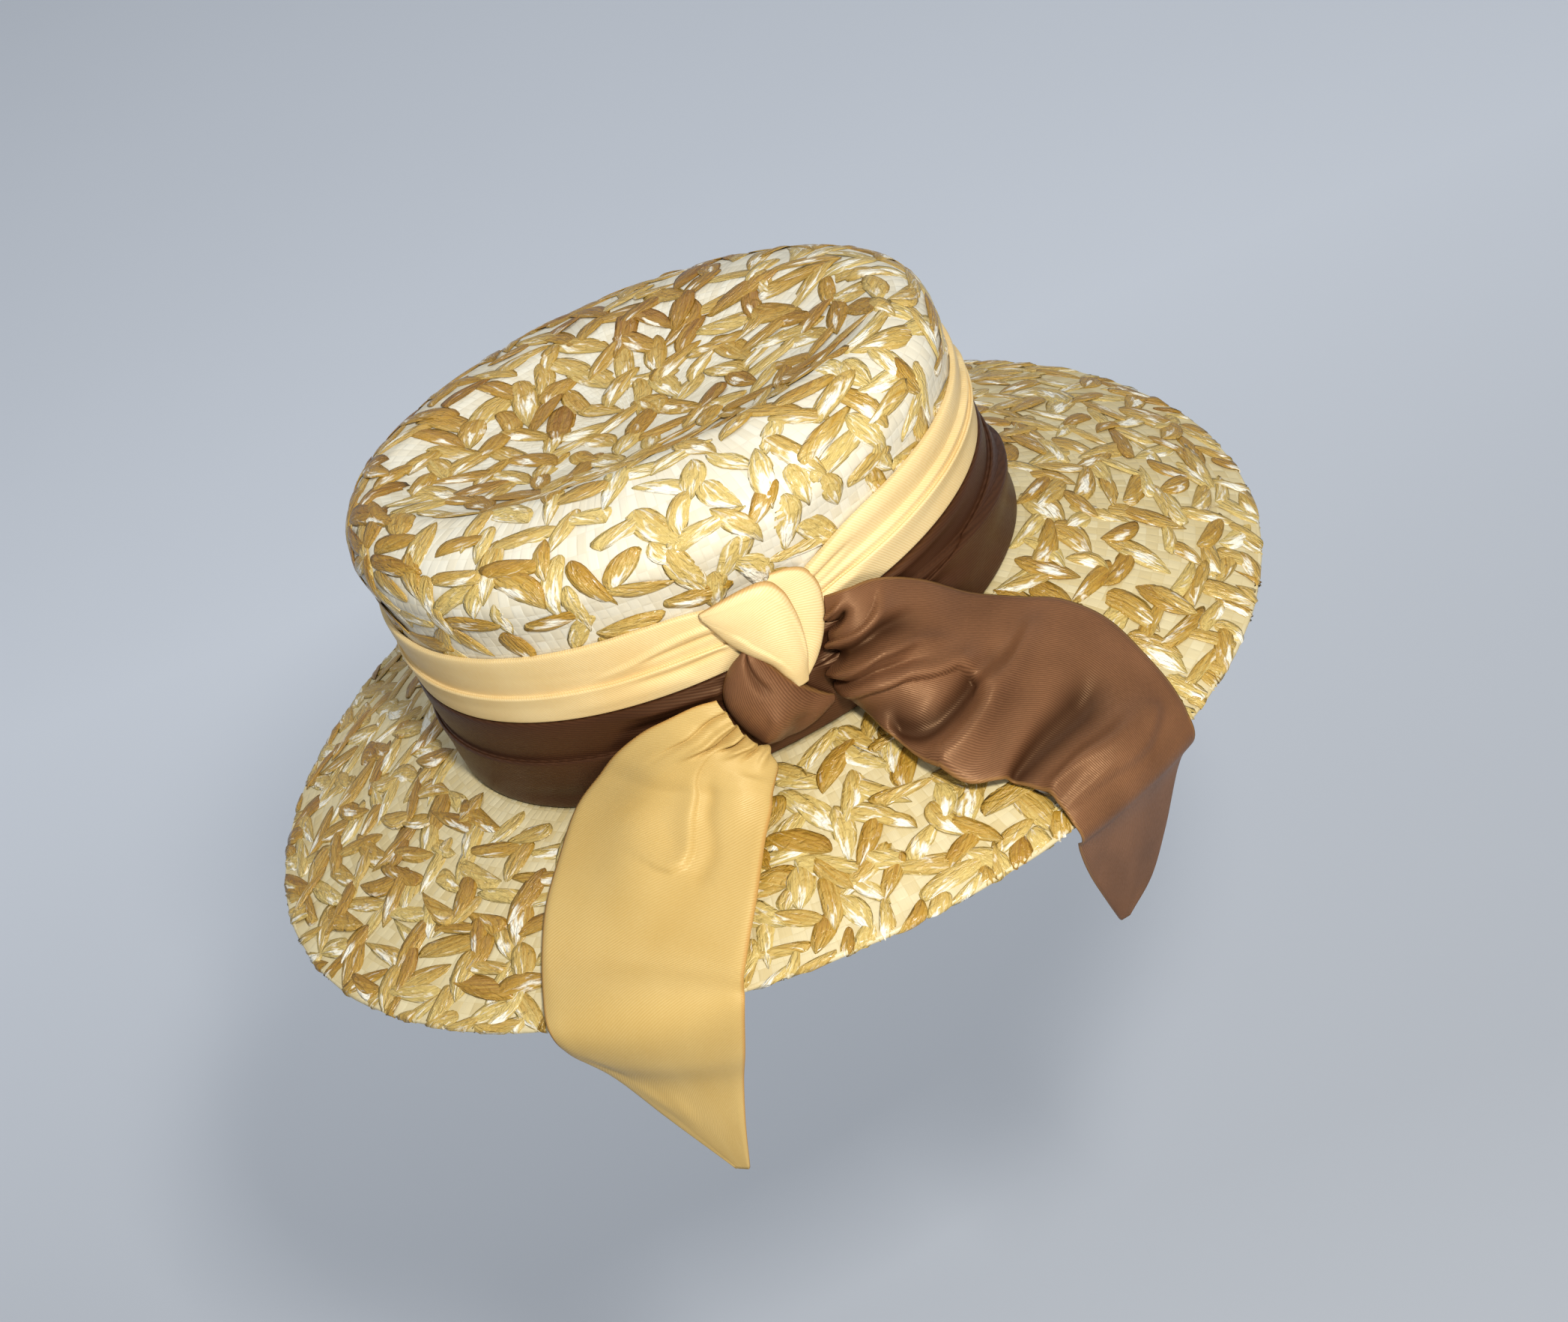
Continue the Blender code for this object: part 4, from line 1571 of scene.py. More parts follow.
@dataclass(frozen=True)
class RibbonBand:
    """One ribbon round the crown, folded lengthwise so that its lower half laps over the upper."""

    name: str
    node: str
    form: HatForm
    finish: SatinRibbon
    slot: Slot
    profile: tuple[ProfilePoint, ...]
    folds: tuple[Fold | Lip, ...]
    low: Callable[[Array], Array]
    high: Callable[[Array], Array]
    lip: Callable[[Array], Array]
    flat: Pair
    flare: float = 0.0
    hollow_depth: float = 1.4
    columns: int = 384
    steps_between: int = 8
    inner_rows: int = 8
    inner_margin: float = 0.02
    inner_gap: float = 0.3 * MM
    least_off: float = 0.9 * MM
    fold_lift: float = 1.2
    first_degree: float = 107.0
    radius: float = 96.0

    def build(self) -> Object:
        """Carries the cross-section round the crown, with its folds, as one closed wall.

        A point's height is low + (high - low) times the profile's, bent so that the profile's
        middle falls on the lip's line. Its distance off the straw is the profile's plus the folds'.

        Returns:
            The band's object.
        """
        angle = np.linspace(0.0, FULL_TURN, self.columns, endpoint=False)
        table = np.array(self.profile)
        section = curve_at(table, np.linspace(0.0, len(table) - 1.0, self.steps_between * len(table)))
        share, lift = section[:, :1], section[:, 1:]
        lip = self.lip(angle)[None, :]
        below = share / 0.5 * lip
        above = lip + (share - 0.5) / 0.5 * (1.0 - lip)
        tall = np.where(share < 0.5, below, above)
        low, high = self.low(angle)[None, :], self.high(angle)[None, :]
        height = low + (high - low) * tall
        turn = np.degrees(np.broadcast_to(angle[None, :], tall.shape))
        turn = np.where(turn < self.first_degree, turn + 360.0, turn)
        place = np.stack((turn, tall), axis=-1)
        scale = (self.radius * math.pi / 180.0, float((high - low).mean()) / MM)
        outside = smooth_step(lift / self.fold_lift)
        rise = fold_shape(place, self.folds, scale)[0] * outside
        off = (lift + rise) * MM
        off = np.maximum(off, np.minimum(lift * MM, self.least_off))
        off = off + self.flare * (1.0 - tall) ** 2 * np.maximum(np.cos(angle), 0.0)[None, :] ** 2
        outer = self.ring(angle, height, off)
        inner_share = np.linspace(1.0, 0.0, self.inner_rows)[:, None]
        inner_tall = self.inner_margin + (1.0 - 2.0 * self.inner_margin) * inner_share
        inner_height = low + (high - low) * inner_tall
        inner = self.ring(angle, inner_height, np.full_like(inner_height, self.inner_gap))
        travel = np.concatenate((height.mean(axis=1), inner_height.mean(axis=1), [low.mean()]))
        # painted shade mark: how deep each fold's valley is
        hollow = np.clip(-rise / self.hollow_depth, 0.0, 1.0)
        marks = {"hollow": np.concatenate((hollow, np.zeros(inner.shape[:2])))}
        piece = round_mesh(self.name, np.concatenate((outer, inner)), travel, self.radius * MM, marks)
        dress(piece, self.finish.build(self.name + "_satin"), self.slot, self.node)
        return piece

    def ring(self, angle: Array, height: Array, off: Array) -> Array:
        """Points at a height and a distance off the crown's straw."""
        radius = self.form.wall_radius(np.broadcast_to(angle, height.shape), height) + off
        return np.stack((radius * np.cos(angle), radius * np.sin(angle), height), axis=-1)


class Section(NamedTuple):
    """A ribbon's section: its two edge points in millimetres, and how proud its middle stands."""

    first: tuple[float, float, float]
    second: tuple[float, float, float]
    fold: float


@dataclass(frozen=True)
class RibbonSheet:
    """A free length of ribbon: a tail over the brim, or a loop of the knot on the crown's wall."""

    name: str
    node: str
    form: HatForm
    finish: SatinRibbon
    slot: Slot
    sections: tuple[Section, ...]
    folds: tuple[Fold | Lip, ...]
    size: Pair
    flat: Pair
    area: float
    held: str
    rests_on: tuple[str, ...]
    on_wall: bool = False
    thickness: float = 0.55 * MM
    edge_roll: float = 0.8
    edge_width: float = 1.1
    edge_mark: float = 1.4
    hollow_depth: float = 3.5
    rows: int = 230
    columns: int = 92
    passes: int = 14
    eased: float = 5.0 * MM
    wall_radius: float = 96.0
    arch_power: float = 1.0
    lift: float = 2.6 * MM
    edge_lift: float = 2.8 * MM
    edge_reach: float = 3.0 * MM

    def build(self) -> Object:
        """Each section is a straight line between its edges, raised in the middle by a sine of the
        share across, and the sections follow each other on a smooth curve. The folds stand along
        the sheet's normals, and its long edges roll under by a decaying exponential.

        Returns:
            The sheet's object.
        """
        table = np.array([(*row.first, *row.second, row.fold) for row in self.sections])
        place = np.linspace(0.0, len(table) - 1.0, self.rows)
        rows = curve_at(table, place)
        first, second, fold = rows[:, None, 0:3], rows[:, None, 3:6], rows[:, None, 6]
        across = np.linspace(0.0, 1.0, self.columns)
        share = across[None, :, None]
        flat = first * (1.0 - share) + second * share
        if self.on_wall:
            flat = self.from_wall(flat)
        normal = grid_normals(flat)
        outward = flat / np.maximum(np.hypot(flat[..., 0], flat[..., 1])[..., None], 1.0)
        outward[..., 2] = 1.0
        normal = normal * np.sign((normal * outward).sum(axis=-1).mean())
        along = place / (len(table) - 1.0)
        where = np.stack(np.broadcast_arrays(along[:, None], across[None, :]), axis=-1)
        rise, drag = fold_shape(where, self.folds, self.size)
        # painted shade mark: how deep each fold's valley is
        hollow = np.clip(-rise / self.hollow_depth, 0.0, 1.0)
        proud = np.sin(math.pi * across)[None, :] ** self.arch_power * fold + rise
        from_edge = np.minimum(across, 1.0 - across)[None, :] * self.size[1]
        proud = proud - self.edge_roll * np.exp(-((from_edge / self.edge_width) ** 2))
        ways = np.gradient(flat, axis=(0, 1))
        ways = [way / np.linalg.norm(way, axis=-1, keepdims=True) for way in ways]
        dragged = flat + ways[0] * drag[..., :1] + ways[1] * drag[..., 1:]
        sheet = (dragged + normal * proud[..., None]) * MM
        if not self.on_wall:
            sheet = self.settled(sheet)
        step_along = np.linalg.norm(np.diff(sheet[:, self.columns // 2], axis=0), axis=1)
        travel = np.concatenate(([0.0], np.cumsum(step_along)))
        breadth = np.linalg.norm(sheet[:, -1] - sheet[:, 0], axis=1).max()
        uv_grid = np.stack(np.broadcast_arrays(travel[:, None], across[None, :] * breadth), axis=-1)
        quads = quad_grid(self.rows, self.columns)
        uv = uv_grid.reshape(-1, 2)[quads]
        edge = np.broadcast_to(np.clip(self.edge_mark - from_edge, 0.0, 1.0), sheet.shape[:2])
        marks = {"edge": edge, "hollow": hollow}
        piece = mesh_object(self.name, sheet.reshape(-1, 3), quads, uv, marks)
        thicken(piece, self.thickness, 0.0)
        dress(piece, self.finish.build(self.name + "_satin"), self.slot, self.node)
        return piece

    def settled(self, sheet: Array) -> Array:
        """The sheet eased over the brim's edge.

        In each pass the sheet is pushed clear of the straw, and near the edge a point then moves
        half way to the mean of its four neighbours.

        Args:
            sheet: points as row, column and x, y, z.

        Returns:
            The moved points.
        """
        for _ in range(self.passes):
            sheet = self.form.clear_of_brim(sheet, self.lift, self.edge_lift, self.edge_reach)
            angle = np.arctan2(sheet[1:-1, 1:-1, 1], sheet[1:-1, 1:-1, 0])
            off = np.hypot(sheet[1:-1, 1:-1, 0], sheet[1:-1, 1:-1, 1]) - self.form.edge_radius(angle)
            share = 0.5 * np.exp(-((off / self.eased) ** 2))[..., None]
            mean = (sheet[2:, 1:-1] + sheet[:-2, 1:-1] + sheet[1:-1, 2:] + sheet[1:-1, :-2]) / 4
            sheet[1:-1, 1:-1] += share * (mean - sheet[1:-1, 1:-1])
        return self.form.clear_of_brim(sheet, self.lift, self.edge_lift, self.edge_reach)

    def from_wall(self, places: Array) -> Array:
        """Points from places on the crown's side: along it, up it and off it, in millimetres.

        Args:
            places: one row of three for each point.

        Returns:
            Points as x, y, z.
        """
        angle = 1.5 * math.pi + places[..., 0] / self.wall_radius
        height = places[..., 1]
        radius = self.form.wall_radius(angle, height * MM) / MM + places[..., 2]
        return np.stack((radius * np.cos(angle), radius * np.sin(angle), height), axis=-1)


YELLOW_SATIN = SatinRibbon(
    colour=(0.80, 0.64, 0.34), deep_tone_and_shade=(0.68, 0.44, 0.15), sheen=(1.0, 0.85, 0.6), rough=0.44,
    slant=math.radians(35.0), edge=(0.45, 0.22, 0.05), contrast=0.45, gloss=0.4,
)
# painted shade: a darker copy of the yellow satin, used for the hanging tail
SHADED_YELLOW_SATIN = replace(YELLOW_SATIN, colour=(0.56, 0.395, 0.145), deep_tone_and_shade=(0.45, 0.28, 0.07))
BROWN_SATIN = SatinRibbon(
    colour=(0.200, 0.090, 0.041), deep_tone_and_shade=(0.032, 0.011, 0.004), sheen=(1.0, 0.62, 0.34), rough=0.44,
    slant=math.radians(80.0), edge=(0.24, 0.12, 0.035), contrast=0.50, gloss=0.5,
)
# painted shade: a darker copy of the brown satin, used for the band
SHADED_BROWN_SATIN = replace(BROWN_SATIN, colour=(0.060, 0.022, 0.009), deep_tone_and_shade=(0.022, 0.007, 0.003))


@dataclass(frozen=True)
class Ribbons:
    """The two ribbons: the band round the crown, the knot, and the two hanging ends."""

    form: HatForm
    top: float = 63.0 * MM
    seam: float = 36.0 * MM
    rise: float = 4.0 * MM
    half_gap: float = 0.15 * MM
    foot_gap: float = 0.4 * MM
    yellow_fold: tuple[float, float, float] = (0.46, 0.06, 1.2)
    brown_fold: tuple[float, float, float] = (0.62, 0.08, 0.2)
    dip: float = 9.0 * MM
    knot_angle: float = math.radians(287.0)
    dip_spread: float = math.radians(14.0)

    def seam_height(self, angle: Array) -> Array:
        """Height of the line where the yellow ribbon lies on the brown one."""
        return self.seam + self.rise * np.cos(angle)

    def top_height(self, angle: Array) -> Array:
        """Height of the yellow ribbon's upper edge, which the knot pulls down."""
        pull = self.dip * np.exp(-(((angle - self.knot_angle) / self.dip_spread) ** 2))
        return self.top + self.rise * np.cos(angle) - pull

    def foot(self, angle: Array) -> Array:
        """Height of the brown ribbon's lower edge, just above the brim."""
        return self.form.foot_height(angle) + self.foot_gap

    def yellow_lip(self, angle: Array) -> Array:
        """Where the yellow ribbon's lengthwise fold lies, as a share of its height."""
        middle, swing, turn = self.yellow_fold
        return middle + swing * np.cos(angle - turn)

    def brown_lip(self, angle: Array) -> Array:
        """Where the brown ribbon's lengthwise fold lies, as a share of its height."""
        middle, swing, turn = self.brown_fold
        return middle + swing * np.cos(angle - turn)

    def bands(self) -> None:
        """The brown ribbon on the brim, and the yellow one above it."""
        lapped = (
            ProfilePoint(0.0, 0.5), ProfilePoint(0.012, 1.7), ProfilePoint(0.14, 2.2),
            ProfilePoint(0.30, 2.4), ProfilePoint(0.44, 2.9), ProfilePoint(0.490, 3.0),
            ProfilePoint(0.510, 2.5), ProfilePoint(0.500, 1.8), ProfilePoint(0.525, 1.3),
            ProfilePoint(0.66, 1.9), ProfilePoint(0.84, 2.4), ProfilePoint(0.975, 2.2),
            ProfilePoint(1.0, 0.7),
        )
        yellow_folds = (
            Fold(((286.0, 0.93), (305.0, 0.84), (330.0, 0.86), (356.0, 0.96)), 1.0, 4.5),
            Lip(((372.0, 0.74), (340.0, 0.62), (312.0, 0.56), (286.0, 0.60)), 2.2, 7.0, 1.2),
            Fold(((286.0, 0.34), (305.0, 0.28), (330.0, 0.30)), 0.7, 4.0),
            Fold(((286.0, 0.80), (296.0, 0.75), (306.0, 0.76)), -1.2, 1.4),
            Fold(((286.0, 0.46), (296.0, 0.42), (306.0, 0.42)), -1.0, 1.3),
            Lip(((274.0, 0.80), (264.0, 0.74), (254.0, 0.62), (242.0, 0.48)), 1.3, 4.0),
            Fold(((274.0, 0.62), (264.0, 0.58), (254.0, 0.54)), -1.0, 1.1),
            Fold(((274.0, 0.34), (262.0, 0.30), (250.0, 0.32)), -0.8, 1.3),
            Fold(((266.0, 0.16), (250.0, 0.20), (232.0, 0.18)), 0.7, 3.0),
        )
        brown_folds = (
            Fold(((286.0, 0.92), (305.0, 0.96), (340.0, 0.92)), 1.5, 2.2),
            Lip(((372.0, 0.52), (340.0, 0.62), (310.0, 0.78), (288.0, 0.88)), 2.2, 6.0, 1.4),
            Fold(((286.0, 0.60), (305.0, 0.50), (325.0, 0.38)), 1.6, 3.0),
            Fold(((288.0, 0.74), (305.0, 0.64), (322.0, 0.52)), -1.2, 1.8),
            Fold(((270.0, 0.86), (258.0, 0.90), (244.0, 0.93)), 1.5, 1.8),
            Fold(((270.0, 0.68), (258.0, 0.74), (242.0, 0.78)), -1.4, 1.6),
            Fold(((266.0, 0.30), (254.0, 0.40), (238.0, 0.44)), 1.0, 3.0),
            Fold(((310.0, 0.30), (340.0, 0.45), (375.0, 0.40)), 1.4, 6.0),
            Fold(((262.0, 0.10), (235.0, 0.16), (205.0, 0.14)), -0.7, 3.0),
        )
        RibbonBand(
            "brown_band", "band_brown", self.form, SHADED_BROWN_SATIN, Slot.BROWN, lapped, brown_folds,
            self.foot, lambda angle: self.seam_height(angle) - self.half_gap, self.brown_lip,
            flat=(0.0370, 0.605), flare=2.5 * MM,
        ).build()
        RibbonBand(
            "yellow_band", "band_yellow", self.form, YELLOW_SATIN, Slot.YELLOW, lapped, yellow_folds,
            lambda angle: self.seam_height(angle) + self.half_gap, self.top_height, self.yellow_lip,
            flat=(0.0290, 0.610),
        ).build()

    def knot(self) -> None:
        """The yellow loop's two layers over the brown wrap, on the crown's side."""
        brown_wrap = (
            Section((10.0, 42.5, 4.0), (11.5, 43.0, 5.0), 0.5),
            Section((3.0, 38.0, 3.5), (13.5, 39.5, 6.0), 3.5),
            Section((-2.0, 32.0, 3.5), (15.5, 36.0, 6.5), 5.0),
            Section((-3.8, 25.7, 3.5), (17.3, 32.5, 6.5), 6.0),
            Section((-2.9, 19.0, 3.5), (19.0, 29.0, 6.5), 6.5),
            Section((-0.8, 12.9, 3.5), (20.7, 26.0, 6.5), 6.5),
            Section((3.0, 7.5, 3.5), (22.5, 23.0, 6.0), 6.0),
            Section((10.0, 5.6, 3.5), (25.0, 19.3, 5.5), 4.5),
            Section((18.4, 6.8, 3.5), (27.8, 15.6, 5.0), 3.0),
            Section((29.5, 10.2, 3.5), (31.0, 12.0, 4.0), 0.8),
        )
        brown_dents = (
            Fold(((0.02, 0.62), (0.16, 0.66), (0.30, 0.70), (0.46, 0.74)), -1.8, 1.7),
            Fold(((0.66, -0.05), (0.62, 0.25), (0.56, 0.50), (0.44, 0.62)), 1.7, 2.4, 0.7),
            Fold(((0.74, 0.05), (0.76, 0.40), (0.72, 0.80)), -1.6, 3.6),
        )
        loop_back = (
            Section((28.0, 63.5, 3.5), (23.0, 61.0, 3.5), 1.0),
            Section((34.5, 62.0, 3.5), (24.0, 57.0, 3.5), 1.6),
            Section((39.5, 58.5, 3.5), (25.0, 52.0, 3.5), 2.0),
            Section((41.6, 52.0, 3.5), (26.0, 47.0, 3.5), 2.4),
            Section((41.0, 45.5, 3.5), (26.5, 42.0, 3.5), 2.4),
            Section((39.0, 39.5, 3.5), (26.5, 37.0, 3.5), 2.2),
            Section((36.0, 34.0, 3.5), (26.0, 32.0, 3.8), 2.0),
            Section((31.0, 28.0, 3.8), (24.5, 27.5, 4.2), 1.2),
            Section((24.8, 23.2, 4.5), (23.0, 24.0, 4.5), 0.4),
        )
        loop_front = (
            Section((1.5, 61.0, 4.0), (1.8, 59.2, 4.0), 0.4),
            Section((9.0, 62.9, 4.8), (4.0, 53.0, 4.3), 2.0),
            Section((18.0, 64.0, 5.2), (6.0, 47.8, 4.5), 3.0),
            Section((25.5, 63.0, 5.5), (8.5, 43.6, 5.0), 3.6),
            Section((29.3, 57.5, 5.8), (11.0, 40.6, 5.8), 3.8),
            Section((30.4, 50.0, 6.0), (13.8, 37.8, 6.8), 3.6),
            Section((30.2, 42.0, 6.0), (16.2, 34.8, 7.6), 3.0),
            Section((28.8, 34.5, 6.0), (18.2, 30.0, 8.0), 2.2),
            Section((26.7, 28.5, 6.0), (19.6, 27.0, 7.6), 1.4),
            Section((25.0, 23.6, 6.0), (20.6, 23.8, 7.0), 0.5),
        )
        loop_folds = (
            Lip(((0.22, 0.74), (0.40, 0.80), (0.62, 0.80), (0.85, 0.72)), 0.7, 3.0, 0.7),
            Fold(((0.40, 0.12), (0.62, 0.10), (0.86, 0.14)), 0.6, 1.1),
        )
        common = {"form": self.form, "on_wall": True, "rows": 72, "columns": 40, "held": "gathered"}
        RibbonSheet(
            name="brown_knot", node="knot_brown", finish=BROWN_SATIN, slot=Slot.BROWN,
            sections=brown_wrap, folds=brown_dents, size=(45.0, 24.0), flat=(0.040, 0.050), area=0.00113,
            rests_on=("brown_band",), arch_power=0.65, edge_roll=0.5, **common,
        ).build()
        RibbonSheet(
            name="yellow_loop_back", node="knot_yellow", finish=YELLOW_SATIN, slot=Slot.YELLOW,
            sections=loop_back, folds=(), size=(42.0, 14.0), flat=(0.020, 0.048), area=0.00060,
            rests_on=("yellow_band",), arch_power=0.5, edge_roll=0.6, **common,
        ).build()
        RibbonSheet(
            name="yellow_loop_front", node="knot_yellow", finish=YELLOW_SATIN, slot=Slot.YELLOW,
            sections=loop_front, folds=loop_folds, size=(45.0, 22.0), flat=(0.032, 0.050), area=0.00090,
            rests_on=("yellow_band", "brown_knot"), arch_power=0.55, edge_roll=0.7, **common,
        ).build()

    def yellow_tail(self) -> Object:
        """The yellow end: gathered at the knot, over the side of the brim, cut aslant at its tip.

        Returns:
            The sheet's object.
        """
        sections = (
            Section((-5.0, -92.5, 31.0), (2.0, -96.0, 5.5), 2.0),
            Section((-12.0, -92.0, 31.5), (4.0, -97.0, 4.5), 3.5),
            Section((-21.0, -90.5, 30.0), (4.5, -99.0, 4.0), 4.0),
            Section((-31.0, -87.5, 27.0), (2.5, -103.0, 3.0), 4.5),
            Section((-42.0, -84.0, 21.0), (0.0, -108.0, 1.5), 4.5),
            Section((-51.0, -81.0, 13.5), (-2.0, -113.0, -0.5), 4.0),
            Section((-63.0, -80.0, 4.5), (-7.0, -122.0, -4.0), 4.0),
            Section((-73.0, -92.0, -2.5), (-14.0, -137.0, -10.0), 3.5),
            Section((-81.0, -104.0, -8.5), (-20.5, -149.0, -15.5), 2.5),
            Section((-86.0, -118.0, -14.0), (-25.5, -159.0, -20.0), 2.0),
            Section((-89.0, -134.0, -18.5), (-27.0, -166.5, -21.5), 4.2),
            Section((-90.0, -146.5, -23.0), (-30.0, -169.0, -28.5), 4.5),
            Section((-87.5, -149.0, -33.0), (-35.0, -168.5, -42.0), 3.5),
            Section((-79.0, -149.0, -47.0), (-40.0, -165.0, -55.0), 2.0),
            Section((-68.0, -155.0, -68.0), (-46.0, -164.5, -72.0), 1.0),
            Section((-55.5, -162.0, -89.0), (-51.5, -163.5, -90.0), 0.0),
        )
        folds = (
            Fold(((-0.08, 0.18), (0.05, 0.20), (0.16, 0.24), (0.27, 0.20)), -2.0, 1.8),
            Fold(((-0.08, 0.30), (0.06, 0.33), (0.16, 0.36), (0.23, 0.34)), 1.7, 1.6),
            Fold(((-0.08, 0.38), (0.05, 0.42), (0.14, 0.44), (0.22, 0.40)), -2.6, 1.5),
            Fold(((-0.08, 0.46), (0.05, 0.49), (0.15, 0.50)), 1.8, 1.3),
            Fold(((-0.08, 0.58), (0.05, 0.56), (0.12, 0.54), (0.18, 0.49)), -2.8, 1.4),
            Fold(((-0.08, 0.68), (0.06, 0.65), (0.14, 0.62), (0.20, 0.60)), 1.8, 2.0),
            Fold(((-0.08, 0.76), (0.06, 0.75), (0.13, 0.73), (0.20, 0.72)), -1.8, 1.4),
            Fold(((-0.08, 0.86), (0.06, 0.85), (0.14, 0.85), (0.22, 0.88)), 1.5, 2.0),
            Fold(((0.08, 0.26), (0.24, 0.30), (0.38, 0.38), (0.48, 0.44), (0.58, 0.46)), 2.6, 11.0),
            Lip(((0.44, 0.30), (0.458, 0.46), (0.465, 0.59), (0.454, 0.660), (0.430, 0.684),
                 (0.385, 0.655), (0.315, 0.595), (0.21, 0.505), (0.10, 0.46)), 1.8, 5.0, 1.8, 0.9, 0.35),
            Fold(((0.48, 0.70), (0.43, 0.76), (0.37, 0.70), (0.30, 0.65), (0.20, 0.57)), -1.0, 2.6),
            Fold(((0.22, 0.84), (0.32, 0.82), (0.42, 0.84)), 1.2, 7.0),
            Fold(((0.88, 0.12), (0.905, 0.30), (0.90, 0.55)), 0.8, 2.6),
            Fold(((0.80, 0.03), (0.83, 0.14), (0.86, 0.16)), -0.7, 2.2),
        )
        return RibbonSheet(
            "yellow_tail", "tail_yellow", self.form, SHADED_YELLOW_SATIN, Slot.YELLOW, sections, folds,
            size=(174.0, 60.0), flat=(0.076, 0.185), area=0.0094, held="draped", rests_on=("straw_brim",),
            passes=34, eased=10.0 * MM,
        ).build()

    def brown_tail(self) -> Object:
        """The brown end: fanned from the knot, forward over the brim, bent over its edge.

        Returns:
            The sheet's object.
        """
        sections = (
            Section((38.1, -83.0, 46.0), (29.4, -85.4, 11.5), 0.5),
            Section((46.0, -84.5, 46.5), (33.5, -94.5, 9.5), 4.0),
            Section((56.0, -79.5, 42.5), (37.5, -101.0, 7.5), 5.5),
            Section((68.0, -72.0, 31.0), (41.5, -107.0, 4.5), 5.0),
            Section((80.0, -66.0, 16.0), (49.0, -119.0, -1.0), 5.0),
            Section((94.0, -66.0, 7.5), (58.0, -128.0, -6.5), 4.5),
            Section((106.0, -68.0, 2.0), (67.0, -128.5, -9.5), 3.5),
            Section((117.0, -75.5, -6.0), (72.5, -128.0, -11.5), 3.0),
            Section((124.0, -90.0, -14.5), (79.0, -134.0, -17.5), 2.5),
            Section((128.5, -104.0, -22.5), (83.0, -140.5, -21.5), 2.5),
            Section((128.5, -112.0, -31.0), (84.0, -143.5, -28.0), 3.0),
            Section((120.0, -112.5, -45.0), (82.5, -139.0, -41.0), 2.0),
            Section((110.0, -113.5, -63.5), (82.5, -133.0, -56.0), 1.5),
            Section((100.0, -116.0, -78.0), (84.0, -127.5, -72.0), 0.5),
            Section((88.5, -121.5, -85.5), (85.5, -123.5, -84.5), 0.0),
        )
        folds = (
            Fold(((-0.06, 0.24), (0.02, 0.16), (0.06, 0.06)), 2.4, 1.4),
            Fold(((-0.06, 0.36), (0.03, 0.26), (0.075, 0.12)), -4.2, 2.0),
            Lip(((-0.06, 0.52), (0.06, 0.36), (0.115, 0.22), (0.140, 0.00)), 3.8, 6.0, 3.0, 1.0),
            Fold(((-0.06, 0.66), (0.06, 0.50), (0.15, 0.34), (0.24, 0.20)), -4.6, 4.4),
            Fold(((-0.06, 0.80), (0.06, 0.66), (0.16, 0.48), (0.29, 0.30)), 3.4, 2.6),
            Fold(((-0.05, 0.86), (0.06, 0.76), (0.16, 0.61), (0.28, 0.44)), -2.6, 2.0),
            Lip(((0.330, 0.62), (0.334, 0.55), (0.318, 0.505), (0.290, 0.510), (0.253, 0.600),
                 (0.180, 0.725), (0.10, 0.83), (0.03, 0.92), (-0.05, 0.98)), 4.8, 6.5, 3.0, 1.2),
            Fold(((0.19, 0.98), (0.265, 0.86), (0.305, 0.68), (0.335, 0.42), (0.345, 0.26)), -4.0, 3.6),
            Fold(((0.00, 1.06), (0.12, 0.95), (0.21, 0.84), (0.30, 0.70)), -2.2, 5.5),
            Fold(((0.280, 1.04), (0.330, 0.86), (0.362, 0.66), (0.388, 0.44), (0.395, 0.22),
                  (0.38, 0.05)), 3.6, 4.4),
            Fold(((0.49, 1.06), (0.515, 0.78), (0.538, 0.50), (0.545, 0.20)), -4.6, 6.0),
            Fold(((0.575, 1.06), (0.600, 0.78), (0.628, 0.50), (0.622, 0.14)), 4.4, 4.5),
            Lip(((0.640, 0.10), (0.680, 0.40), (0.664, 0.75), (0.640, 1.08)), 3.4, 6.0, 3.4),
        )
        return RibbonSheet(
            "brown_tail", "tail_brown", self.form, BROWN_SATIN, Slot.BROWN, sections, folds,
            size=(181.0, 58.0), flat=(0.075, 0.190), area=0.0105, held="draped", rests_on=("straw_brim",),
        ).build()


# Studio


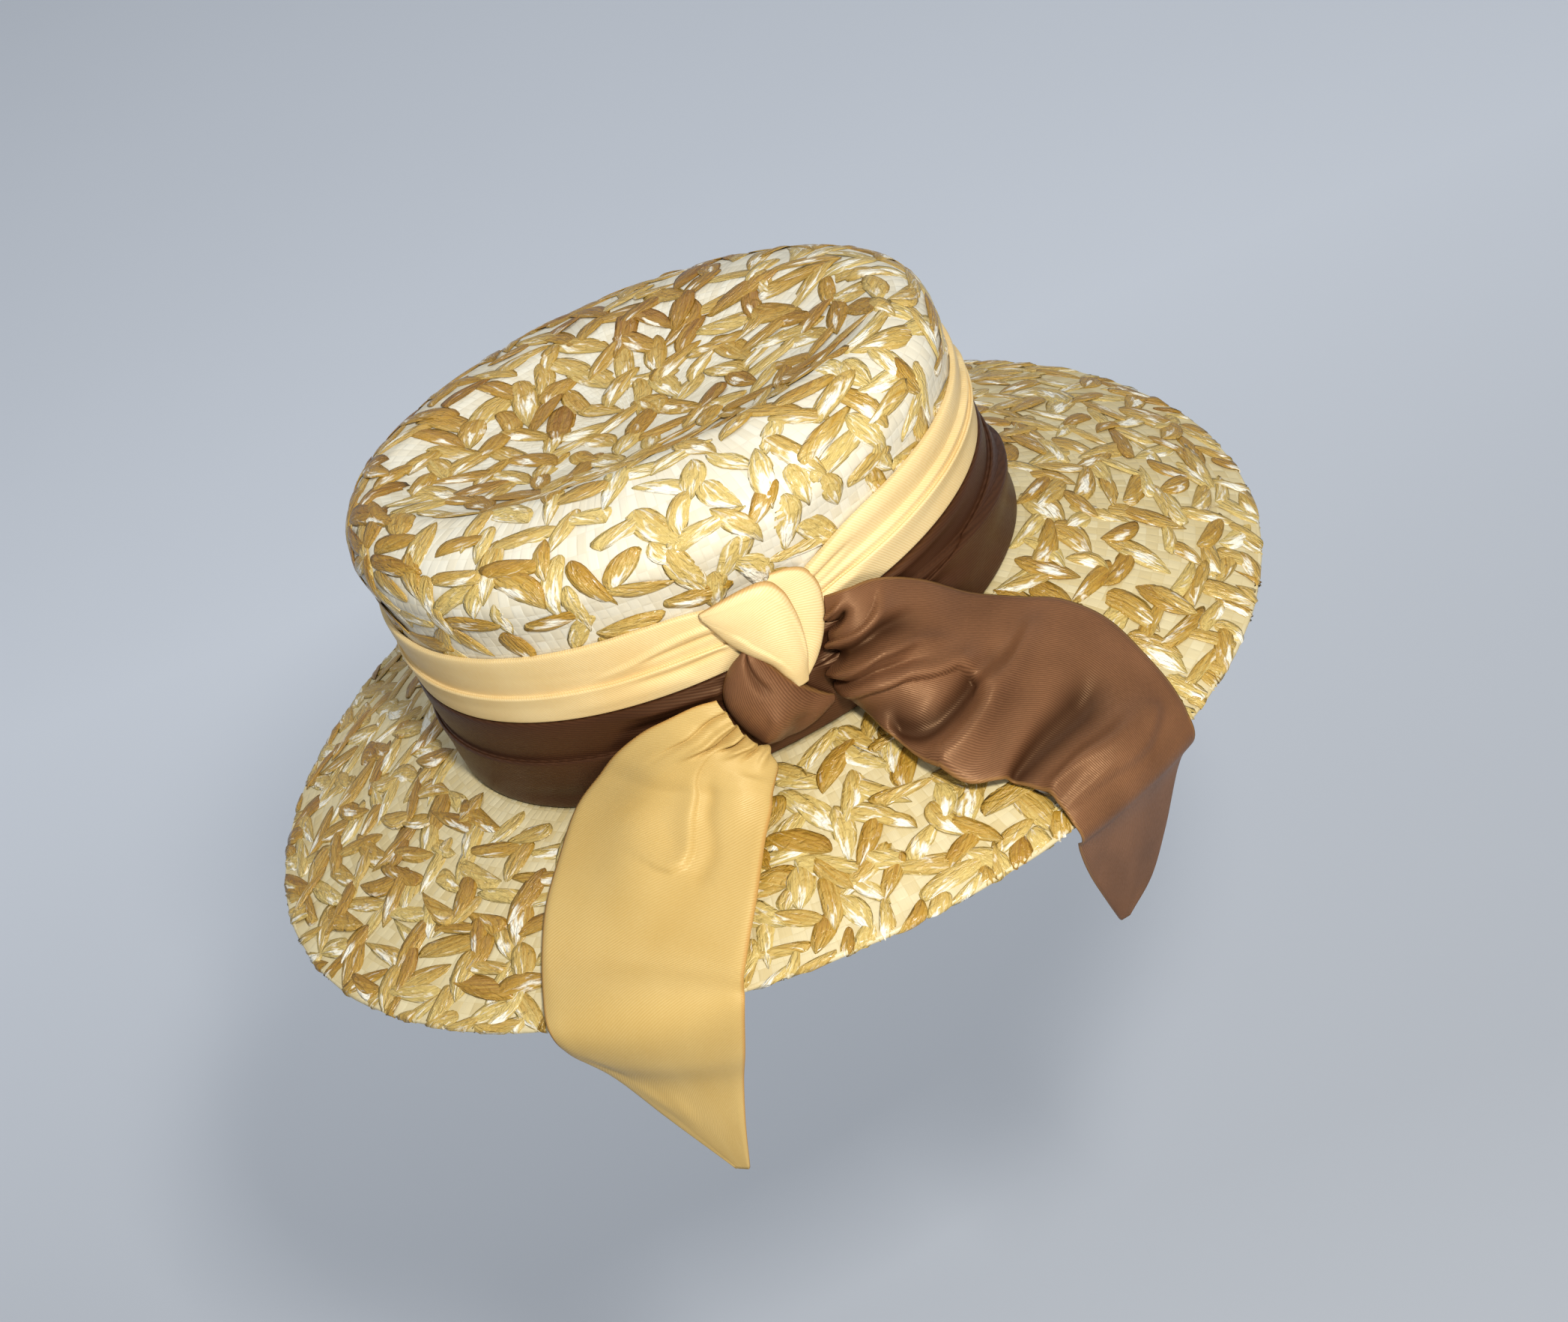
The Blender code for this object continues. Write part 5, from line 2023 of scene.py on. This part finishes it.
@dataclass(frozen=True)
class Studio:
    """The camera at its place over the wearer's right side, soft light and a pale floor."""

    eye: tuple[float, float, float] = (0.10774, -0.93231, 0.60542)
    azimuth: float = math.radians(6.0)
    elevation: float = math.radians(34.0)
    roll: float = math.radians(25.24)
    sensor: float = 36.0
    focal: float = 75.68
    far_clip: float = 60.0
    floor_height: float = -0.70
    floor_size: float = 14.0
    near_floor: float = 0.3
    far_floor: float = 1.3
    floor_colour: Colour = (0.86, 0.91, 0.98)
    floor_rough: float = 0.9
    floor_gloss: float = 0.1
    painted_shade_factor: float = 0.66
    cloud_share: float = 0.16
    clouds_per_metre: float = 1.3
    sky: Colour = (0.86, 0.90, 0.96)
    sky_strength: float = 0.36
    key_right: float = 0.07
    key_up: float = 0.20

    def axes(self) -> tuple[Vector, Vector, Vector]:
        """The camera's right, up and backward directions, from its three angles.

        Returns:
            The three directions.
        """
        level = math.cos(self.elevation)
        sine, cosine = math.sin(self.azimuth), math.cos(self.azimuth)
        back = Vector((sine * level, -cosine * level, math.sin(self.elevation)))
        right = Vector((cosine, sine, 0.0))
        up = back.cross(right)
        tipped_right = right * math.cos(self.roll) - up * math.sin(self.roll)
        tipped_up = right * math.sin(self.roll) + up * math.cos(self.roll)
        return tipped_right, tipped_up, back

    def camera(self) -> None:
        """Places the camera."""
        right, up, back = self.axes()
        lens = bpy.data.cameras.new("view_camera")
        lens.sensor_fit = "HORIZONTAL"
        lens.sensor_width = self.sensor
        lens.lens = self.focal
        lens.clip_end = self.far_clip
        camera = bpy.data.objects.new("view_camera", lens)
        bpy.context.scene.collection.objects.link(camera)
        turn = Matrix((right, up, back)).transposed().to_4x4()
        camera.matrix_world = Matrix.Translation(self.eye) @ turn
        bpy.context.scene.camera = camera

    def lamp(
        self, name: str, place: Vector, aim: Vector, size: float, power: float, colour: Colour
    ) -> None:
        """A soft square lamp that looks at a point.

        Args:
            name: the lamp's name.
            place: where it hangs.
            aim: the point that it looks at.
            size: its side in metres.
            power: watts.
            colour: red, green and blue.
        """
        light = bpy.data.lights.new(name, "AREA")
        light.size = size
        light.energy = power
        light.color = colour
        lamp = bpy.data.objects.new(name, light)
        lamp.location = place
        lamp.rotation_euler = (aim - place).to_track_quat("-Z", "Y").to_euler()
        bpy.context.scene.collection.objects.link(lamp)

    def lights(self) -> None:
        """A key light above the camera, a broad overhead fill, a low fill in front and a pale sky."""
        right, up, back = self.axes()
        middle = Vector((0.0, 0.0, 0.02))
        eye = Vector(self.eye)
        key_place = eye + right * self.key_right + up * self.key_up
        self.lamp("key_light", key_place, middle, size=0.10, power=12.8, colour=(1.0, 0.97, 0.93))
        over, under = Vector((-0.3, 1.1, 2.2)), Vector((-0.3, 1.0, -0.7))
        self.lamp("top_fill", over, under, size=2.4, power=22.0, colour=(0.95, 0.97, 1.0))
        low = Vector((0.7, -1.7, -0.15))
        self.lamp("front_fill", low, middle, size=1.0, power=11.0, colour=(1.0, 0.94, 0.86))
        world = bpy.data.worlds.new("pale_sky")
        world.use_nodes = True
        background = world.node_tree.nodes["Background"]
        background.inputs["Color"].default_value = (*self.sky, 1.0)
        background.inputs["Strength"].default_value = self.sky_strength
        bpy.context.scene.world = world
        bpy.context.scene.view_settings.view_transform = "Standard"

    def floor(self) -> None:
        """A plain pale floor well below the hat, with faint clouds and painted shade that darkens its part
        nearer the camera.
        """
        half = self.floor_size / 2
        corners = np.array([(-half, -half), (half, -half), (half, half), (-half, half)])
        points = np.column_stack((corners, np.full(4, self.floor_height)))
        quads = np.array([[0, 1, 2, 3]])
        ground = mesh_object("pale_floor", points, quads, corners)
        material, w, shader = new_material("pale_floor_paint")
        # painted shade: the floor is darker nearer the camera
        near_painted_shade = w.ramp(w.axes(w.lay())[1], self.near_floor, self.far_floor, 1.0, 0.0)
        darker = tuple(part * self.painted_shade_factor for part in self.floor_colour)
        clouds = w.noise(w.lay(), self.clouds_per_metre, 3.0)
        clouds_and_painted_shade = w.math("MULTIPLY_ADD", clouds, self.cloud_share, near_painted_shade)
        w.put(shader.inputs["Base Color"], w.blend(clouds_and_painted_shade, self.floor_colour, darker))
        shader.inputs["Roughness"].default_value = self.floor_rough
        shader.inputs["Specular IOR Level"].default_value = self.floor_gloss
        ground.data.materials.append(material)


def main() -> None:
    """Builds the hat piece by piece, then its studio."""
    logging.basicConfig(level=logging.INFO, format="%(name)s %(message)s")
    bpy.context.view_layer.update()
    form = HatForm()
    shells = StrawShells(form)
    shells.crown()
    shells.brim()
    studio = Studio()
    leaves = LeafFields(form, away=tuple(-studio.axes()[1]))
    leaves.crown()
    leaves.dish()
    leaves.brim()
    leaves.rim()
    ribbons = Ribbons(form)
    ribbons.bands()
    ribbons.knot()
    ribbons.yellow_tail()
    ribbons.brown_tail()
    studio.camera()
    studio.lights()
    studio.floor()


if __name__ == "__main__":
    main()
